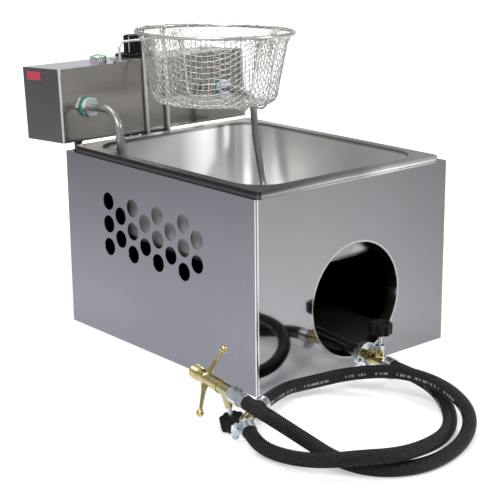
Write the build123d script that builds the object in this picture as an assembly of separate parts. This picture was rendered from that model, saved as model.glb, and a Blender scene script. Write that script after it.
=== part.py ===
from build123d import *
import os
from math import cos, hypot, radians, sin, sqrt, tan

# Bench fryer kit: a sheet-steel housing with a drop-in pan, an electric control head with an
# immersion element, a round wire basket, and a gas burner fed through a hose with a wing-screw
# cylinder connector.
# Frame: +Z up, origin on the floor under the middle of the housing, the round burner opening
# faces -Y and the control head stands at the +Y end. All sizes are in millimetres.

# ---------------------------------------------------------------- clearances
SEAT_GAP = 0.3
SHEET_FIT = 0.1
RUNNING_FIT = 0.08
HOLE_FIT = 0.05

# ---------------------------------------------------------------- pan
PAN_SIDE_MARGIN = 7.5
PAN_END_MARGIN = 6.5
PAN_RIM_SIDE_WIDTH = 11.5
PAN_RIM_END_WIDTH = 13.5
PAN_DEPTH = 100.0
PAN_SHEET = 1.0
PAN_CORNER_RADIUS = 38.0
PAN_FLANGE_CORNER_RADIUS = 5.0
PAN_BOTTOM_RADIUS = 12.0
PAN_DRAFT = 1.0
PAN_FLANGE_STAND = 6.0

# ---------------------------------------------------------------- housing
HOUSING_WIDTH = 280.0
HOUSING_DEPTH = 338.0
HOUSING_HEIGHT = 207.0
SHEET = 1.0
BEND_RADIUS = 3.0
PAN_DROP_CLEARANCE = 3.0
OPENING_CORNER_RADIUS = 6.0
BOTTOM_FLANGE = 12.0
REAR_FLANGE = 14.0
REAR_FLANGE_END_GAP = 3.0
RELIEF_RADIUS = 1.6
RIVET_RADIUS = 1.6
RIVET_HEAD_RADIUS = 3.2
RIVET_HEAD_HEIGHT = 0.8
RIVET_TAIL = 1.5
RIVET_END_GAP = 30.0
RIVETS_PER_SIDE = 3

BURNER_OPENING_RADIUS = 64.0
BURNER_OPENING_HEIGHT = 75.5
COLLAR_DEPTH = 11.0
COLLAR_TAPER = 4.0

VENT_RADIUS = 10.0
VENT_COLUMN_PITCH = 22.86
VENT_ROW_PITCH = 26.5
VENT_CENTRE_Y = 6.5
VENT_CENTRE_Z = 134.5
VENT_COLUMNS = 8

# ---------------------------------------------------------------- control head
HEAD_WIDTH = 277.0
HEAD_DEPTH = 77.0
HEAD_HEIGHT = 86.0
HEAD_SHEET = 1.0
HEAD_LEAN = 3.2
HEAD_SETBACK = 6.7
HEAD_STAND = 6.5
COVER_SKIRT = 7.0
TRAY_TAB = 10.0
COVER_SCREWS = 3
COVER_SCREW_SPACING = 110.0
SCREW_RADIUS = 1.5
SCREW_HEAD_RADIUS = 3.0
SCREW_HEAD_HEIGHT = 1.2

BRACKET_LEFT = -54.0
BRACKET_RIGHT = 16.0
BRACKET_SHEET = 2.5
BRACKET_PLATE_BACK = 1.2
BRACKET_LEG_REACH = 12.4
BRACKET_LEG_DROP = 3.8
BRACKET_DROP = 88.0
BRACKET_ARM = 40.0
BRACKET_SLOTS = ((-42.5, 3.0), (-30.0, 4.0), (-16.5, 3.0))
BRACKET_SLOT_DEPTH = 12.0
BRACKET_SCREW_SPACING = 44.0

GLAND_X = -113.0
GLAND_BACK = 9.0
GLAND_RADIUS = 4.5
GLAND_BORE_RADIUS = 3.5
GLAND_LENGTH = 15.0
GLAND_NUT_RADIUS = 7.5
GLAND_NUT_HEIGHT = 4.0

LABEL_LENGTH = 30.0
LABEL_HEIGHT = 10.0
LABEL_THICKNESS = 0.4
LABEL_BACK = 54.0
LABEL_UP = 71.5

# ---------------------------------------------------------------- heating element
ELEMENT_RADIUS = 4.25
ELEMENT_HALF_SPREAD = 101.5
ELEMENT_EXIT_UP = 39.0
ELEMENT_REACH = 60.5
ELEMENT_ENTRY_BEND = 27.0
ELEMENT_KNEE_Y = 113.0
ELEMENT_KNEE_Z = 200.0
ELEMENT_KNEE_BEND = 150.0
ELEMENT_HEEL_Y = 96.0
ELEMENT_FLOOR_CLEARANCE = 8.75
ELEMENT_FRONT_Y = -105.0
ELEMENT_RETURN_Y = 75.0
ELEMENT_INNER_X = 34.0
ELEMENT_BEND = 30.0
ELEMENT_TAIL = 14.0
ELEMENT_NUT_ACROSS_FLATS = 20.0
ELEMENT_NUT_THICKNESS = 7.0
GASKET_RADIUS = 12.0
GASKET_THICKNESS = 2.5
BRACE_WIDTH = 12.0
BRACE_THICKNESS = 1.5
BRACE_POSITIONS = (-55.0, 35.0)
BULB_RADIUS = 3.0
BULB_LENGTH = 90.0
BULB_OFFSET = 16.0
CAPILLARY_RADIUS = 1.0
CAPILLARY_EXIT_OFFSET = 14.5
CLIP_WIDTH = 5.0
CLIP_DROPS = (31.0, 42.0)

# ---------------------------------------------------------------- head controls
KNOB_BACK = 37.0
DIAL_RADIUS = 34.0
DIAL_THICKNESS = 1.0
SKIRT_RADIUS = 27.0
SKIRT_THICKNESS = 3.5
SKIRT_TOP_UP = 6.0
KNOB_RADIUS = 16.0
KNOB_TOP_UP = 28.0
KNOB_FLUTES = 12
SPINDLE_RADIUS = 3.0
THERMOSTAT_SIZE = (44.0, 44.0, 26.0)
TERMINAL_SIZE = (60.0, 22.0, 18.0)
TERMINAL_X = 70.0
TERMINAL_PITCH = 11.0
TERMINAL_END = 8.0

PILOT_X = -66.0
PILOT_BACK = 25.0
PILOT_RADIUS = 10.0
PILOT_HEIGHT = 8.6
PILOT_LENS_RADIUS = 7.6
PILOT_LENS_RISE = 2.0
PILOT_BODY_RADIUS = 6.0
PILOT_BODY_LENGTH = 24.0

RAIL_HALF_SPAN = 46.0
RAIL_BACK = 8.0
RAIL_HEIGHT = 23.5
RAIL_RADIUS = 1.6
RAIL_BEND = 8.0
RAIL_FOOT_LENGTH = 16.0
RAIL_FOOT_WIDTH = 9.0
RAIL_FOOT_THICKNESS = 1.5

# ---------------------------------------------------------------- basket
BASKET_X = -3.0
BASKET_FORWARD = 122.2
BASKET_UP = 121.5
BASKET_PITCH = 2.6
BASKET_ROLL = 1.9
RIM_RADIUS = 90.5
RIM_WIRE_RADIUS = 2.0
BASKET_DEPTH = 80.4
BASKET_NECK_RADIUS = 84.0
BASKET_NECK_DROP = 11.0
BASKET_FLOOR_RADIUS = 71.5
BASKET_CORNER = 12.0
MESH_THICKNESS = 1.4
FRAME_WIRE_RADIUS = 1.25
FRAME_WIRES = ((-6.0, -11.0), (22.0, 17.0))
HANGER_X = (-19.0, 12.0)
HANGER_RADIUS = 2.0
HANGER_FORWARD = 3.6
HANGER_BEND = 10.0

# ---------------------------------------------------------------- gas burner
SHUTTER_POINT = (-10.4, -189.6, 23.3)
BURNER_YAW = 2.84
BURNER_TILT = 2.17
TUBE_RADIUS = 6.6
TUBE_WALL = 1.2
TUBE_LENGTH = 172.0
BELL_RADIUS = 8.8
BELL_LENGTH = 14.0
BELL_FLANGE_RADIUS = 12.0
SHUTTER_RADIUS = 13.5
SHUTTER_DEPTH = 7.0
SHUTTER_SHEET = 0.8
AIR_WINDOW_RADIUS = 2.2
AIR_WINDOWS = 3
JET_RADIUS = 5.0
VALVE_BODY_RADIUS = 6.0
VALVE_LENGTH = 36.45
VALVE_STEM_BACK = 26.0
TOWER_RADIUS = 4.8
TOWER_HEIGHT = 12.5
GLAND_HEX_ACROSS_FLATS = 9.0
GLAND_HEX_HEIGHT = 4.6
STEM_RADIUS = 2.0
HAND_KNOB_RADIUS = 12.5
HAND_KNOB_HEIGHT = 12.2
HAND_KNOB_LOBES = 8
VALVE_KNOB_RISE = 29.9
BURNER_HEAD_FORWARD = 209.7
BURNER_HEAD_RADIUS = 47.0
BURNER_NECK_RADIUS = 16.0
BURNER_NECK_DROP = 10.5
BURNER_SOCKET_WALL = 2.6
BURNER_PASSAGE_END = 1.3
BURNER_SCREW_RADIUS = 1.9
BURNER_SCREW_GRIP = 5.0
BURNER_NECK_RISE = 20.0
BURNER_BOWL_RISE = 34.0
BURNER_CAP_HEIGHT = 7.0
BURNER_PORTS = 24
BURNER_PORT_RADIUS = 1.5
BURNER_PORT_LENGTH = 14.0
CROSSBAR_WIDTH = 30.0
CROSSBAR_SHEET = 2.0
CROSSBAR_HOLE_REACH = 12.0

# ---------------------------------------------------------------- connector
NOSE_POINT = (-210.4, -155.8, 44.0)
CONNECTOR_HEADING = 9.26
NOSE_RADIUS = 7.2
NOSE_LENGTH = 13.5
HUB_RADIUS = 6.6
HUB_COLLAR_RADIUS = 6.9
HUB_COLLAR_START = 24.0
HUB_COLLAR_END = 26.5
WING_HUB_END = 29.5
WING_PLANE = 22.4
WING_REACH = 33.0
WING_SWEEP = 12.0
WING_BALL_RADIUS = 4.0
WING_ROOT_RADIUS = 3.9
WING_TIP_RADIUS = 1.7
WING_ANGLE = 65.5
SPIGOT_RADIUS = 3.4
CONNECTOR_RADIUS = 6.1
CONNECTOR_BODY_END = 73.0
RING_RADIUS = 6.7
RING_START = 49.0
RING_END = 52.5
BRANCH_POSITION = 60.0
BRANCH_ANGLE = 12.0
BRANCH_LENGTH = 19.0
BRANCH_ROOT_RADIUS = 5.2
BRANCH_TIP_RADIUS = 3.7
SIDE_KNOB_START = 29.5
SIDE_STEM_RADIUS = 2.5
HOSE_NUT_ACROSS_FLATS = 14.2
HOSE_NUT_LENGTH = 17.0
HOSE_TAIL_ACROSS_FLATS = 12.6
CONNECTOR_LENGTH = 100.0

# ---------------------------------------------------------------- hose
HOSE_RADIUS = 7.0
CLAMP_WIDTH = 8.0
CLAMP_BAND = 0.8
CLAMP_HOUSING = (7.0, 9.0, 8.8)
CLAMP_SCREW_RADIUS = 2.2
CLAMP_SCREW_LENGTH = 13.0
CLAMP_END_MARGIN = 6.5
JOINER_RADIUS = 4.8
JOINER_HEX_ACROSS_FLATS = 12.0
JOINER_HEX_LENGTH = 12.0
JOINER_LONG_LEG = 40.0
JOINER_SHORT_LEG = 5.6

OUTER_LOOP = [
    (-226.49, -254.5, 44.0),
    (-228.95, -269.6, 44.0),
    (-222.0, -284.0, 36.5),
    (-199.0, -303.0, 15.5),
    (-196.0, -347.0, 7.0),
    (-182.0, -385.0, 7.0),
    (-141.0, -406.0, 7.0),
    (-82.0, -395.0, 7.6),
    (-38.0, -366.0, 16.5),
    (-21.0, -317.0, 25.5),
    (-26.0, -262.0, 27.0),
    (-54.0, -221.0, 21.0),
    (-94.0, -198.0, 13.5),
    (-135.0, -195.0, 15.0),
    (-185.0, -223.0, 18.5),
]
INNER_LOOP = [
    (-222.0, -247.5, 19.3),
    (-228.7, -262.4, 14.4),
    (-231.0, -285.0, 8.5),
    (-226.0, -316.0, 9.0),
    (-219.0, -351.0, 16.0),
    (-199.0, -375.0, 21.5),
    (-172.0, -396.0, 22.8),
    (-136.0, -398.0, 21.5),
    (-82.0, -373.0, 10.0),
    (-43.0, -344.0, 7.0),
    (-15.0, -309.0, 7.5),
    (-5.0, -283.0, 11.5),
    (-8.5, -262.0, 17.5),
    (-13.05, -243.0, 21.27),
    (-12.21, -226.05, 21.92),
]

# ---------------------------------------------------------------- derived values
PAN_FLANGE_WIDTH = HOUSING_WIDTH - 2 * PAN_SIDE_MARGIN
PAN_FLANGE_DEPTH = HOUSING_DEPTH - 2 * PAN_END_MARGIN
PAN_MOUTH_WIDTH = PAN_FLANGE_WIDTH - 2 * PAN_RIM_SIDE_WIDTH
PAN_MOUTH_DEPTH = PAN_FLANGE_DEPTH - 2 * PAN_RIM_END_WIDTH
FLANGE_TOP = HOUSING_HEIGHT + PAN_FLANGE_STAND
PAN_FLOOR = FLANGE_TOP - PAN_DEPTH
OPENING_WIDTH = PAN_MOUTH_WIDTH + 2 * (PAN_SHEET + PAN_DROP_CLEARANCE)
OPENING_DEPTH = PAN_MOUTH_DEPTH + 2 * (PAN_SHEET + PAN_DROP_CLEARANCE)
ELEMENT_RUN_Z = PAN_FLOOR + ELEMENT_FLOOR_CLEARANCE + ELEMENT_RADIUS
REAR_FACE = HOUSING_DEPTH / 2
FRONT_FACE = -HOUSING_DEPTH / 2
HEAD_FRAME = Pos(0, REAR_FACE + HEAD_SETBACK, HOUSING_HEIGHT + HEAD_STAND) * Rot(-HEAD_LEAN, 0, 0)
BASKET_POSE = Pos(BASKET_X, -BASKET_FORWARD, BASKET_UP) * Rot(BASKET_PITCH, 0, 0) * Rot(0, BASKET_ROLL, 0)
BASKET_FRAME = HEAD_FRAME * BASKET_POSE
BURNER_FRAME = Pos(*SHUTTER_POINT) * Rot(0, 0, -BURNER_YAW) * Rot(BURNER_TILT, 0, 0)
CONNECTOR_AXIS = Vector(-sin(radians(CONNECTOR_HEADING)), -cos(radians(CONNECTOR_HEADING)), 0)
CONNECTOR_SIDE = Vector(cos(radians(CONNECTOR_HEADING)), -sin(radians(CONNECTOR_HEADING)), 0)
CONNECTOR_FRAME = Plane(origin=NOSE_POINT, x_dir=CONNECTOR_SIDE, z_dir=CONNECTOR_AXIS).location


# ---------------------------------------------------------------- helpers
def rod(radius, length, start=0.0):
    """Round bar along +Z from start to start + length."""
    return Pos(0, 0, start) * Cylinder(radius, length, align=(Align.CENTER, Align.CENTER, Align.MIN))


def tube(outer, inner, length, start=0.0):
    return rod(outer, length, start) - rod(inner, length + 2, start - 1)


def hexagon_bar(across_flats, length, start=0.0):
    profile = RegularPolygon(across_flats / 2, 6, major_radius=False)
    return Pos(0, 0, start) * extrude(profile, length)


def block(x0, x1, y0, y1, z0, z1):
    """Box between two corners."""
    return Pos(x0, y0, z0) * Box(x1 - x0, y1 - y0, z1 - z0, align=(Align.MIN, Align.MIN, Align.MIN))


def rounded_block(width, depth, height, radius, base=0.0):
    return Pos(0, 0, base) * extrude(RectangleRounded(width, depth, radius), height)


def bent_bar(points, radii, radius):
    """Round bar along straight runs joined by tangent arcs."""
    path = FilletPolyline(*points, radius=radii)
    return sweep((path ^ 0) * Circle(radius), path=path)


def hose_radii(points):
    """Arc radius at each corner of a hose: 0.45 of the shorter run over tan(half the turn)."""
    radii = []
    for before, corner, after in zip(points, points[1:], points[2:]):
        incoming = Vector(corner) - Vector(before)
        outgoing = Vector(after) - Vector(corner)
        half_turn = radians(incoming.get_angle(outgoing)) / 2
        radii.append(0.45 * min(incoming.length, outgoing.length) / tan(half_turn))
    return radii


def frame_between(origin, target):
    """Location at origin with +Z pointing at target."""
    return Plane(origin=origin, z_dir=Vector(target) - Vector(origin)).location


def along_y(shape):
    """Turns a shape drawn along +Z so that it lies along +Y."""
    return Rot(-90, 0, 0) * shape


# ---------------------------------------------------------------- housing
def vent_positions():
    """Staggered vent centres (y, z): odd columns hold three holes, even columns two."""
    places = []
    first = VENT_CENTRE_Y + VENT_COLUMN_PITCH * (VENT_COLUMNS - 1) / 2
    for column in range(VENT_COLUMNS):
        y = first - column * VENT_COLUMN_PITCH
        count = 3 if column % 2 == 0 else 2
        for row in range(count):
            places.append((y, VENT_CENTRE_Z + (row - (count - 1) / 2) * VENT_ROW_PITCH))
    return places


def rivet_positions():
    """Rivets (x, z) that hold the rear panel to the wrap's rear flanges."""
    x = HOUSING_WIDTH / 2 - SHEET - REAR_FLANGE / 2
    step = (HOUSING_HEIGHT - 2 * RIVET_END_GAP) / (RIVETS_PER_SIDE - 1)
    heights = [RIVET_END_GAP + step * index for index in range(RIVETS_PER_SIDE)]
    return [(side * x, z) for side in (-1, 1) for z in heights]


def rivet_holes():
    """Clearance bores for every rear rivet, as one cutter."""
    bore = Rot(-90, 0, 0) * rod(RIVET_RADIUS + HOLE_FIT, REAR_FLANGE, -REAR_FLANGE / 2)
    return Part() + [Pos(x, REAR_FACE, z) * bore for x, z in rivet_positions()]


def build_housing_wrap():
    """Front and side walls from one sheet, with folded top lips, bottom and rear flanges."""
    spare = 2 * BEND_RADIUS
    outer = rounded_block(HOUSING_WIDTH, HOUSING_DEPTH + spare, HOUSING_HEIGHT, BEND_RADIUS)
    inner = rounded_block(
        HOUSING_WIDTH - 2 * SHEET,
        HOUSING_DEPTH + spare - 2 * SHEET,
        HOUSING_HEIGHT - 2 * SHEET,
        BEND_RADIUS - SHEET,
        SHEET,
    )
    outer = Pos(0, spare / 2, 0) * outer
    inner = Pos(0, spare / 2, 0) * inner
    top_opening = rounded_block(
        OPENING_WIDTH, OPENING_DEPTH, 3 * SHEET, OPENING_CORNER_RADIUS, HOUSING_HEIGHT - 2 * SHEET
    )
    floor_opening = rounded_block(
        HOUSING_WIDTH - 2 * BOTTOM_FLANGE, HOUSING_DEPTH - 2 * BOTTOM_FLANGE, 3 * SHEET, BEND_RADIUS, -SHEET
    )
    shell = outer - inner - top_opening - floor_opening
    wide = HOUSING_WIDTH / 2 + 1
    shell -= block(-wide, wide, REAR_FACE - SHEET, REAR_FACE + spare + 1, -1, HOUSING_HEIGHT + 1)
    half_top = OPENING_WIDTH / 2
    shell -= block(-half_top, half_top, 0, REAR_FACE, HOUSING_HEIGHT - 2 * SHEET, HOUSING_HEIGHT + 1)
    half_floor = HOUSING_WIDTH / 2 - BOTTOM_FLANGE
    shell -= block(-half_floor, half_floor, 0, REAR_FACE, -1, 2 * SHEET)
    for y, z in vent_positions():
        shell -= Pos(0, y, z) * Rot(0, 90, 0) * Cylinder(VENT_RADIUS, HOUSING_WIDTH + 2)
    low = SHEET + REAR_FLANGE_END_GAP
    high = HOUSING_HEIGHT - SHEET - REAR_FLANGE_END_GAP
    wall = HOUSING_WIDTH / 2 - SHEET / 2
    for side in (-1, 1):
        edges = sorted((side * wall, side * (HOUSING_WIDTH / 2 - SHEET - REAR_FLANGE)))
        shell += block(edges[0], edges[1], REAR_FACE - 2 * SHEET, REAR_FACE - SHEET, low, high)
    shell -= rivet_holes()
    burner_hole = Rot(90, 0, 0) * Cylinder(BURNER_OPENING_RADIUS, 6 * SHEET)
    shell -= Pos(0, FRONT_FACE, BURNER_OPENING_HEIGHT) * burner_hole
    for side in (-1, 1):
        corner = Pos(side * OPENING_WIDTH / 2, -OPENING_DEPTH / 2, HOUSING_HEIGHT)
        shell -= corner * Cylinder(RELIEF_RADIUS, 4 * SHEET)
    return shell


def build_rear_panel():
    """Flat rear wall on the wrap's rear flanges, with lips to match the wrap."""
    half = HOUSING_WIDTH / 2
    panel = block(-half, half, REAR_FACE - SHEET, REAR_FACE, 0, HOUSING_HEIGHT)
    half_top = OPENING_WIDTH / 2 - SHEET_FIT
    panel += block(
        -half_top, half_top, OPENING_DEPTH / 2, REAR_FACE, HOUSING_HEIGHT - SHEET, HOUSING_HEIGHT
    )
    half_floor = HOUSING_WIDTH / 2 - BOTTOM_FLANGE - SHEET_FIT
    panel += block(-half_floor, half_floor, REAR_FACE - BOTTOM_FLANGE, REAR_FACE, 0, SHEET)
    return panel - rivet_holes()


def build_rear_rivets():
    """Rivets through the rear panel and the wrap's rear flanges."""
    grip = 2 * SHEET + RIVET_TAIL
    rivet = rod(RIVET_RADIUS, grip, -grip) + rod(RIVET_HEAD_RADIUS, RIVET_HEAD_HEIGHT)
    return [Pos(x, REAR_FACE, z) * Rot(-90, 0, 0) * rivet for x, z in rivet_positions()]


def build_opening_collar():
    """Tapered ring lining the burner opening."""
    front = BURNER_OPENING_RADIUS - HOLE_FIT
    back = front - COLLAR_TAPER
    profile = Polygon(
        (front, 0),
        (front - SHEET, 0),
        (back - SHEET, COLLAR_DEPTH),
        (back, COLLAR_DEPTH),
        align=None,
    )
    ring = revolve(profile, axis=Axis.Y)
    return Pos(0, FRONT_FACE, BURNER_OPENING_HEIGHT) * ring


# ---------------------------------------------------------------- pan
def tapered_well(width, depth, height, corner, bottom_radius, top):
    """Rounded well that narrows downwards from top, with a filleted floor."""
    plane = Plane(origin=(0, 0, top), x_dir=(1, 0, 0), z_dir=(0, 0, -1))
    well = extrude(plane * RectangleRounded(width, depth, corner), height, taper=PAN_DRAFT)
    return fillet(well.edges().group_by(Axis.Z)[0], bottom_radius)


def build_pan():
    """Drawn pan with a flat flange and a turned-down lip."""
    lip = PAN_FLANGE_STAND - SEAT_GAP
    flange = rounded_block(
        PAN_FLANGE_WIDTH, PAN_FLANGE_DEPTH, lip, PAN_FLANGE_CORNER_RADIUS, FLANGE_TOP - lip
    )
    flange -= rounded_block(
        PAN_FLANGE_WIDTH - 2 * PAN_SHEET,
        PAN_FLANGE_DEPTH - 2 * PAN_SHEET,
        lip - PAN_SHEET,
        PAN_FLANGE_CORNER_RADIUS - PAN_SHEET,
        FLANGE_TOP - lip,
    )
    outside = tapered_well(
        PAN_MOUTH_WIDTH + 2 * PAN_SHEET,
        PAN_MOUTH_DEPTH + 2 * PAN_SHEET,
        PAN_DEPTH + PAN_SHEET,
        PAN_CORNER_RADIUS + PAN_SHEET,
        PAN_BOTTOM_RADIUS + PAN_SHEET,
        FLANGE_TOP,
    )
    inside = tapered_well(
        PAN_MOUTH_WIDTH, PAN_MOUTH_DEPTH, PAN_DEPTH, PAN_CORNER_RADIUS, PAN_BOTTOM_RADIUS, FLANGE_TOP
    )
    pan = flange + outside - inside
    return pan


# ---------------------------------------------------------------- control head
def build_head_tray():
    """Front, floor and rear of the control head, with end tabs inside the cover."""
    half = HEAD_WIDTH / 2 - HEAD_SHEET - SHEET_FIT
    top = HEAD_HEIGHT - HEAD_SHEET - SHEET_FIT
    tray = block(-half, half, 0, HEAD_DEPTH, 0, top)
    tray -= block(-half - 1, half + 1, HEAD_SHEET, HEAD_DEPTH - HEAD_SHEET, HEAD_SHEET, top + 1)
    for side in (-1, 1):
        edges = sorted((side * half, side * (half - HEAD_SHEET)))
        tray += block(edges[0], edges[1], 0, TRAY_TAB, 0, top)
        tray += block(edges[0], edges[1], HEAD_DEPTH - TRAY_TAB, HEAD_DEPTH, 0, top)
    for side in (-1, 1):
        hole = Pos(side * ELEMENT_HALF_SPREAD, 0, ELEMENT_EXIT_UP)
        tray -= hole * along_y(rod(ELEMENT_RADIUS + SEAT_GAP, 4, -2))
    tray -= Pos(GLAND_X, GLAND_BACK, 0) * rod(GLAND_RADIUS + HOLE_FIT, 4, -2)
    capillary_exit = Pos(capillary_exit_x(), 0, ELEMENT_EXIT_UP)
    tray -= capillary_exit * along_y(rod(CAPILLARY_RADIUS + HOLE_FIT, 4, -2))
    for x in bracket_screw_positions():
        tray -= Pos(x, BRACKET_ARM / 2 + BRACKET_PLATE_BACK, 0) * rod(SCREW_RADIUS + HOLE_FIT, 4, -2)
    for x in cover_screw_positions():
        tray -= Pos(x, HEAD_DEPTH, cover_screw_up()) * along_y(rod(SCREW_RADIUS + HOLE_FIT, 4, -2))
    return HEAD_FRAME * tray


def build_head_cover():
    """Top and ends of the control head, with a short skirt over the front and rear."""
    half = HEAD_WIDTH / 2
    lap = HEAD_SHEET + SHEET_FIT
    cover = block(-half, half, -lap, HEAD_DEPTH + lap, 0, HEAD_HEIGHT)
    inner = half - HEAD_SHEET
    cover -= block(-inner, inner, -SHEET_FIT, HEAD_DEPTH + SHEET_FIT, -1, HEAD_HEIGHT - HEAD_SHEET)
    skirt = HEAD_HEIGHT - COVER_SKIRT
    cover -= block(-inner, inner, -lap - 1, HEAD_DEPTH + lap + 1, -1, skirt)
    cover -= Pos(0, KNOB_BACK, HEAD_HEIGHT) * rod(SPINDLE_RADIUS + 1, 4, -2)
    cover -= Pos(PILOT_X, PILOT_BACK, HEAD_HEIGHT) * rod(PILOT_BODY_RADIUS + HOLE_FIT, 4, -2)
    for x in cover_screw_positions():
        cover -= Pos(x, HEAD_DEPTH, cover_screw_up()) * along_y(rod(SCREW_RADIUS + HOLE_FIT, 4, -2))
    return HEAD_FRAME * cover


def cover_screw_positions():
    return [(index - (COVER_SCREWS - 1) / 2) * COVER_SCREW_SPACING for index in range(COVER_SCREWS)]


def cover_screw_up():
    return HEAD_HEIGHT - COVER_SKIRT / 2


def pan_head_screw(grip):
    """Screw with its head's underside at z = 0 and its shank towards -Z."""
    return rod(SCREW_RADIUS, grip, -grip) + rod(SCREW_HEAD_RADIUS, SCREW_HEAD_HEIGHT)


def build_cover_screws():
    screws = []
    lap = HEAD_SHEET + SHEET_FIT
    for x in cover_screw_positions():
        place = Pos(x, HEAD_DEPTH + lap, cover_screw_up()) * Rot(-90, 0, 0)
        screws.append(HEAD_FRAME * place * pan_head_screw(lap + HEAD_SHEET + 2))
    return screws


def bracket_screw_positions():
    middle = (BRACKET_LEFT + BRACKET_RIGHT) / 2
    return [middle - BRACKET_SCREW_SPACING / 2, middle + BRACKET_SCREW_SPACING / 2]


def build_head_bracket():
    """Black bracket with welded tabs: rides on the housing's rear lip, bears on the rear wall."""
    front = BRACKET_PLATE_BACK - BRACKET_SHEET
    bracket = block(BRACKET_LEFT, BRACKET_RIGHT, front, BRACKET_PLATE_BACK, -BRACKET_DROP, 0)
    bracket += block(BRACKET_LEFT, BRACKET_RIGHT, front, BRACKET_ARM, -BRACKET_SHEET, 0)
    leg_bottom = -BRACKET_LEG_DROP - BRACKET_SHEET
    leg_back = front - HOLE_FIT
    leg = block(BRACKET_LEFT, BRACKET_RIGHT, -BRACKET_LEG_REACH, leg_back, leg_bottom, -BRACKET_LEG_DROP)
    for x, width in BRACKET_SLOTS:
        slot = block(
            x - width / 2, x + width / 2, -BRACKET_LEG_REACH - 1, BRACKET_PLATE_BACK + 1,
            -BRACKET_SLOT_DEPTH, -BRACKET_SHEET,
        )
        bracket -= slot
        leg -= slot
    for x in HANGER_X:
        socket = rod(HANGER_RADIUS + SHEET_FIT, 3 * BRACKET_SHEET, -2 * BRACKET_SHEET)
        leg -= Pos(x, -HANGER_FORWARD, -BRACKET_LEG_DROP) * socket
    for x in bracket_screw_positions():
        bracket -= Pos(x, BRACKET_ARM / 2 + BRACKET_PLATE_BACK, 0) * rod(SCREW_RADIUS + HOLE_FIT, 8, -6)
    return [HEAD_FRAME * bracket] + [HEAD_FRAME * tab for tab in leg.solids()]


def build_bracket_screws():
    screws = []
    for x in bracket_screw_positions():
        place = Pos(x, BRACKET_ARM / 2 + BRACKET_PLATE_BACK, -BRACKET_SHEET) * Rot(180, 0, 0)
        screws.append(HEAD_FRAME * place * pan_head_screw(BRACKET_SHEET + HEAD_SHEET + 3))
    return screws


def build_cable_gland():
    """Mains cable entry under the head: clamping nut inside, spout outside."""
    spout = tube(GLAND_RADIUS, GLAND_BORE_RADIUS, GLAND_LENGTH + HEAD_SHEET + GLAND_NUT_HEIGHT, -GLAND_LENGTH)
    shoulder = tube(GLAND_RADIUS + 1.5, GLAND_BORE_RADIUS, 1.5, -1.5)
    nut = hexagon_bar(2 * GLAND_NUT_RADIUS, GLAND_NUT_HEIGHT, HEAD_SHEET) - rod(GLAND_BORE_RADIUS, 8, -1)
    return HEAD_FRAME * Pos(GLAND_X, GLAND_BACK, 0) * (spout + shoulder + nut)


def build_rating_label():
    """Blank red plate on the left end of the head."""
    plate = Box(LABEL_THICKNESS, LABEL_LENGTH, LABEL_HEIGHT, align=(Align.MAX, Align.CENTER, Align.CENTER))
    return HEAD_FRAME * Pos(-HEAD_WIDTH / 2, LABEL_BACK, LABEL_UP + LABEL_HEIGHT / 2) * plate


# ---------------------------------------------------------------- heating element
def element_leg(side):
    """Corner points of one leg, from inside the head down to the pan floor."""
    inside = HEAD_FRAME * Pos(side * ELEMENT_HALF_SPREAD, ELEMENT_TAIL, ELEMENT_EXIT_UP)
    elbow = HEAD_FRAME * Pos(side * ELEMENT_HALF_SPREAD, -ELEMENT_REACH, ELEMENT_EXIT_UP)
    x = side * ELEMENT_HALF_SPREAD
    return [
        tuple(inside.position),
        tuple(elbow.position),
        (x, ELEMENT_KNEE_Y, ELEMENT_KNEE_Z),
        (x, ELEMENT_HEEL_Y, ELEMENT_RUN_Z),
        (x, ELEMENT_FRONT_Y, ELEMENT_RUN_Z),
    ]


def build_heating_element():
    """Sheathed element: two legs joined by an M-shaped run over the pan floor."""
    left = element_leg(-1)
    right = element_leg(1)
    middle = [
        (-ELEMENT_INNER_X, ELEMENT_FRONT_Y, ELEMENT_RUN_Z),
        (-ELEMENT_INNER_X, ELEMENT_RETURN_Y, ELEMENT_RUN_Z),
        (ELEMENT_INNER_X, ELEMENT_RETURN_Y, ELEMENT_RUN_Z),
        (ELEMENT_INNER_X, ELEMENT_FRONT_Y, ELEMENT_RUN_Z),
    ]
    leg_bends = [ELEMENT_ENTRY_BEND, ELEMENT_KNEE_BEND, ELEMENT_BEND, ELEMENT_BEND]
    bends = leg_bends + [ELEMENT_BEND] * len(middle) + leg_bends[::-1]
    return bent_bar(left + middle + right[::-1], bends, ELEMENT_RADIUS)


def build_element_gaskets():
    gasket = tube(GASKET_RADIUS, ELEMENT_RADIUS + HOLE_FIT, GASKET_THICKNESS, -GASKET_THICKNESS)
    return [
        HEAD_FRAME * Pos(side * ELEMENT_HALF_SPREAD, 0, ELEMENT_EXIT_UP) * along_y(gasket) for side in (-1, 1)
    ]


def build_element_nuts():
    """Washer-faced hexagon nuts that clamp the element to the head."""
    washer = rod(ELEMENT_NUT_ACROSS_FLATS / 2 + 1, 1, -GASKET_THICKNESS - 1)
    far_face = -GASKET_THICKNESS - ELEMENT_NUT_THICKNESS
    flats = hexagon_bar(ELEMENT_NUT_ACROSS_FLATS, ELEMENT_NUT_THICKNESS - 1, far_face)
    nut = washer + flats - rod(ELEMENT_RADIUS + HOLE_FIT, 40, -20)
    return [
        HEAD_FRAME * Pos(side * ELEMENT_HALF_SPREAD, 0, ELEMENT_EXIT_UP) * along_y(nut) for side in (-1, 1)
    ]


def build_element_braces():
    """Flat strips under the element's runs, resting on the pan floor side."""
    braces = []
    half = ELEMENT_HALF_SPREAD + ELEMENT_RADIUS
    top = ELEMENT_RUN_Z - ELEMENT_RADIUS - HOLE_FIT
    for y in BRACE_POSITIONS:
        front = y - BRACE_WIDTH / 2
        braces.append(block(-half, half, front, front + BRACE_WIDTH, top - BRACE_THICKNESS, top))
    return braces


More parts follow.
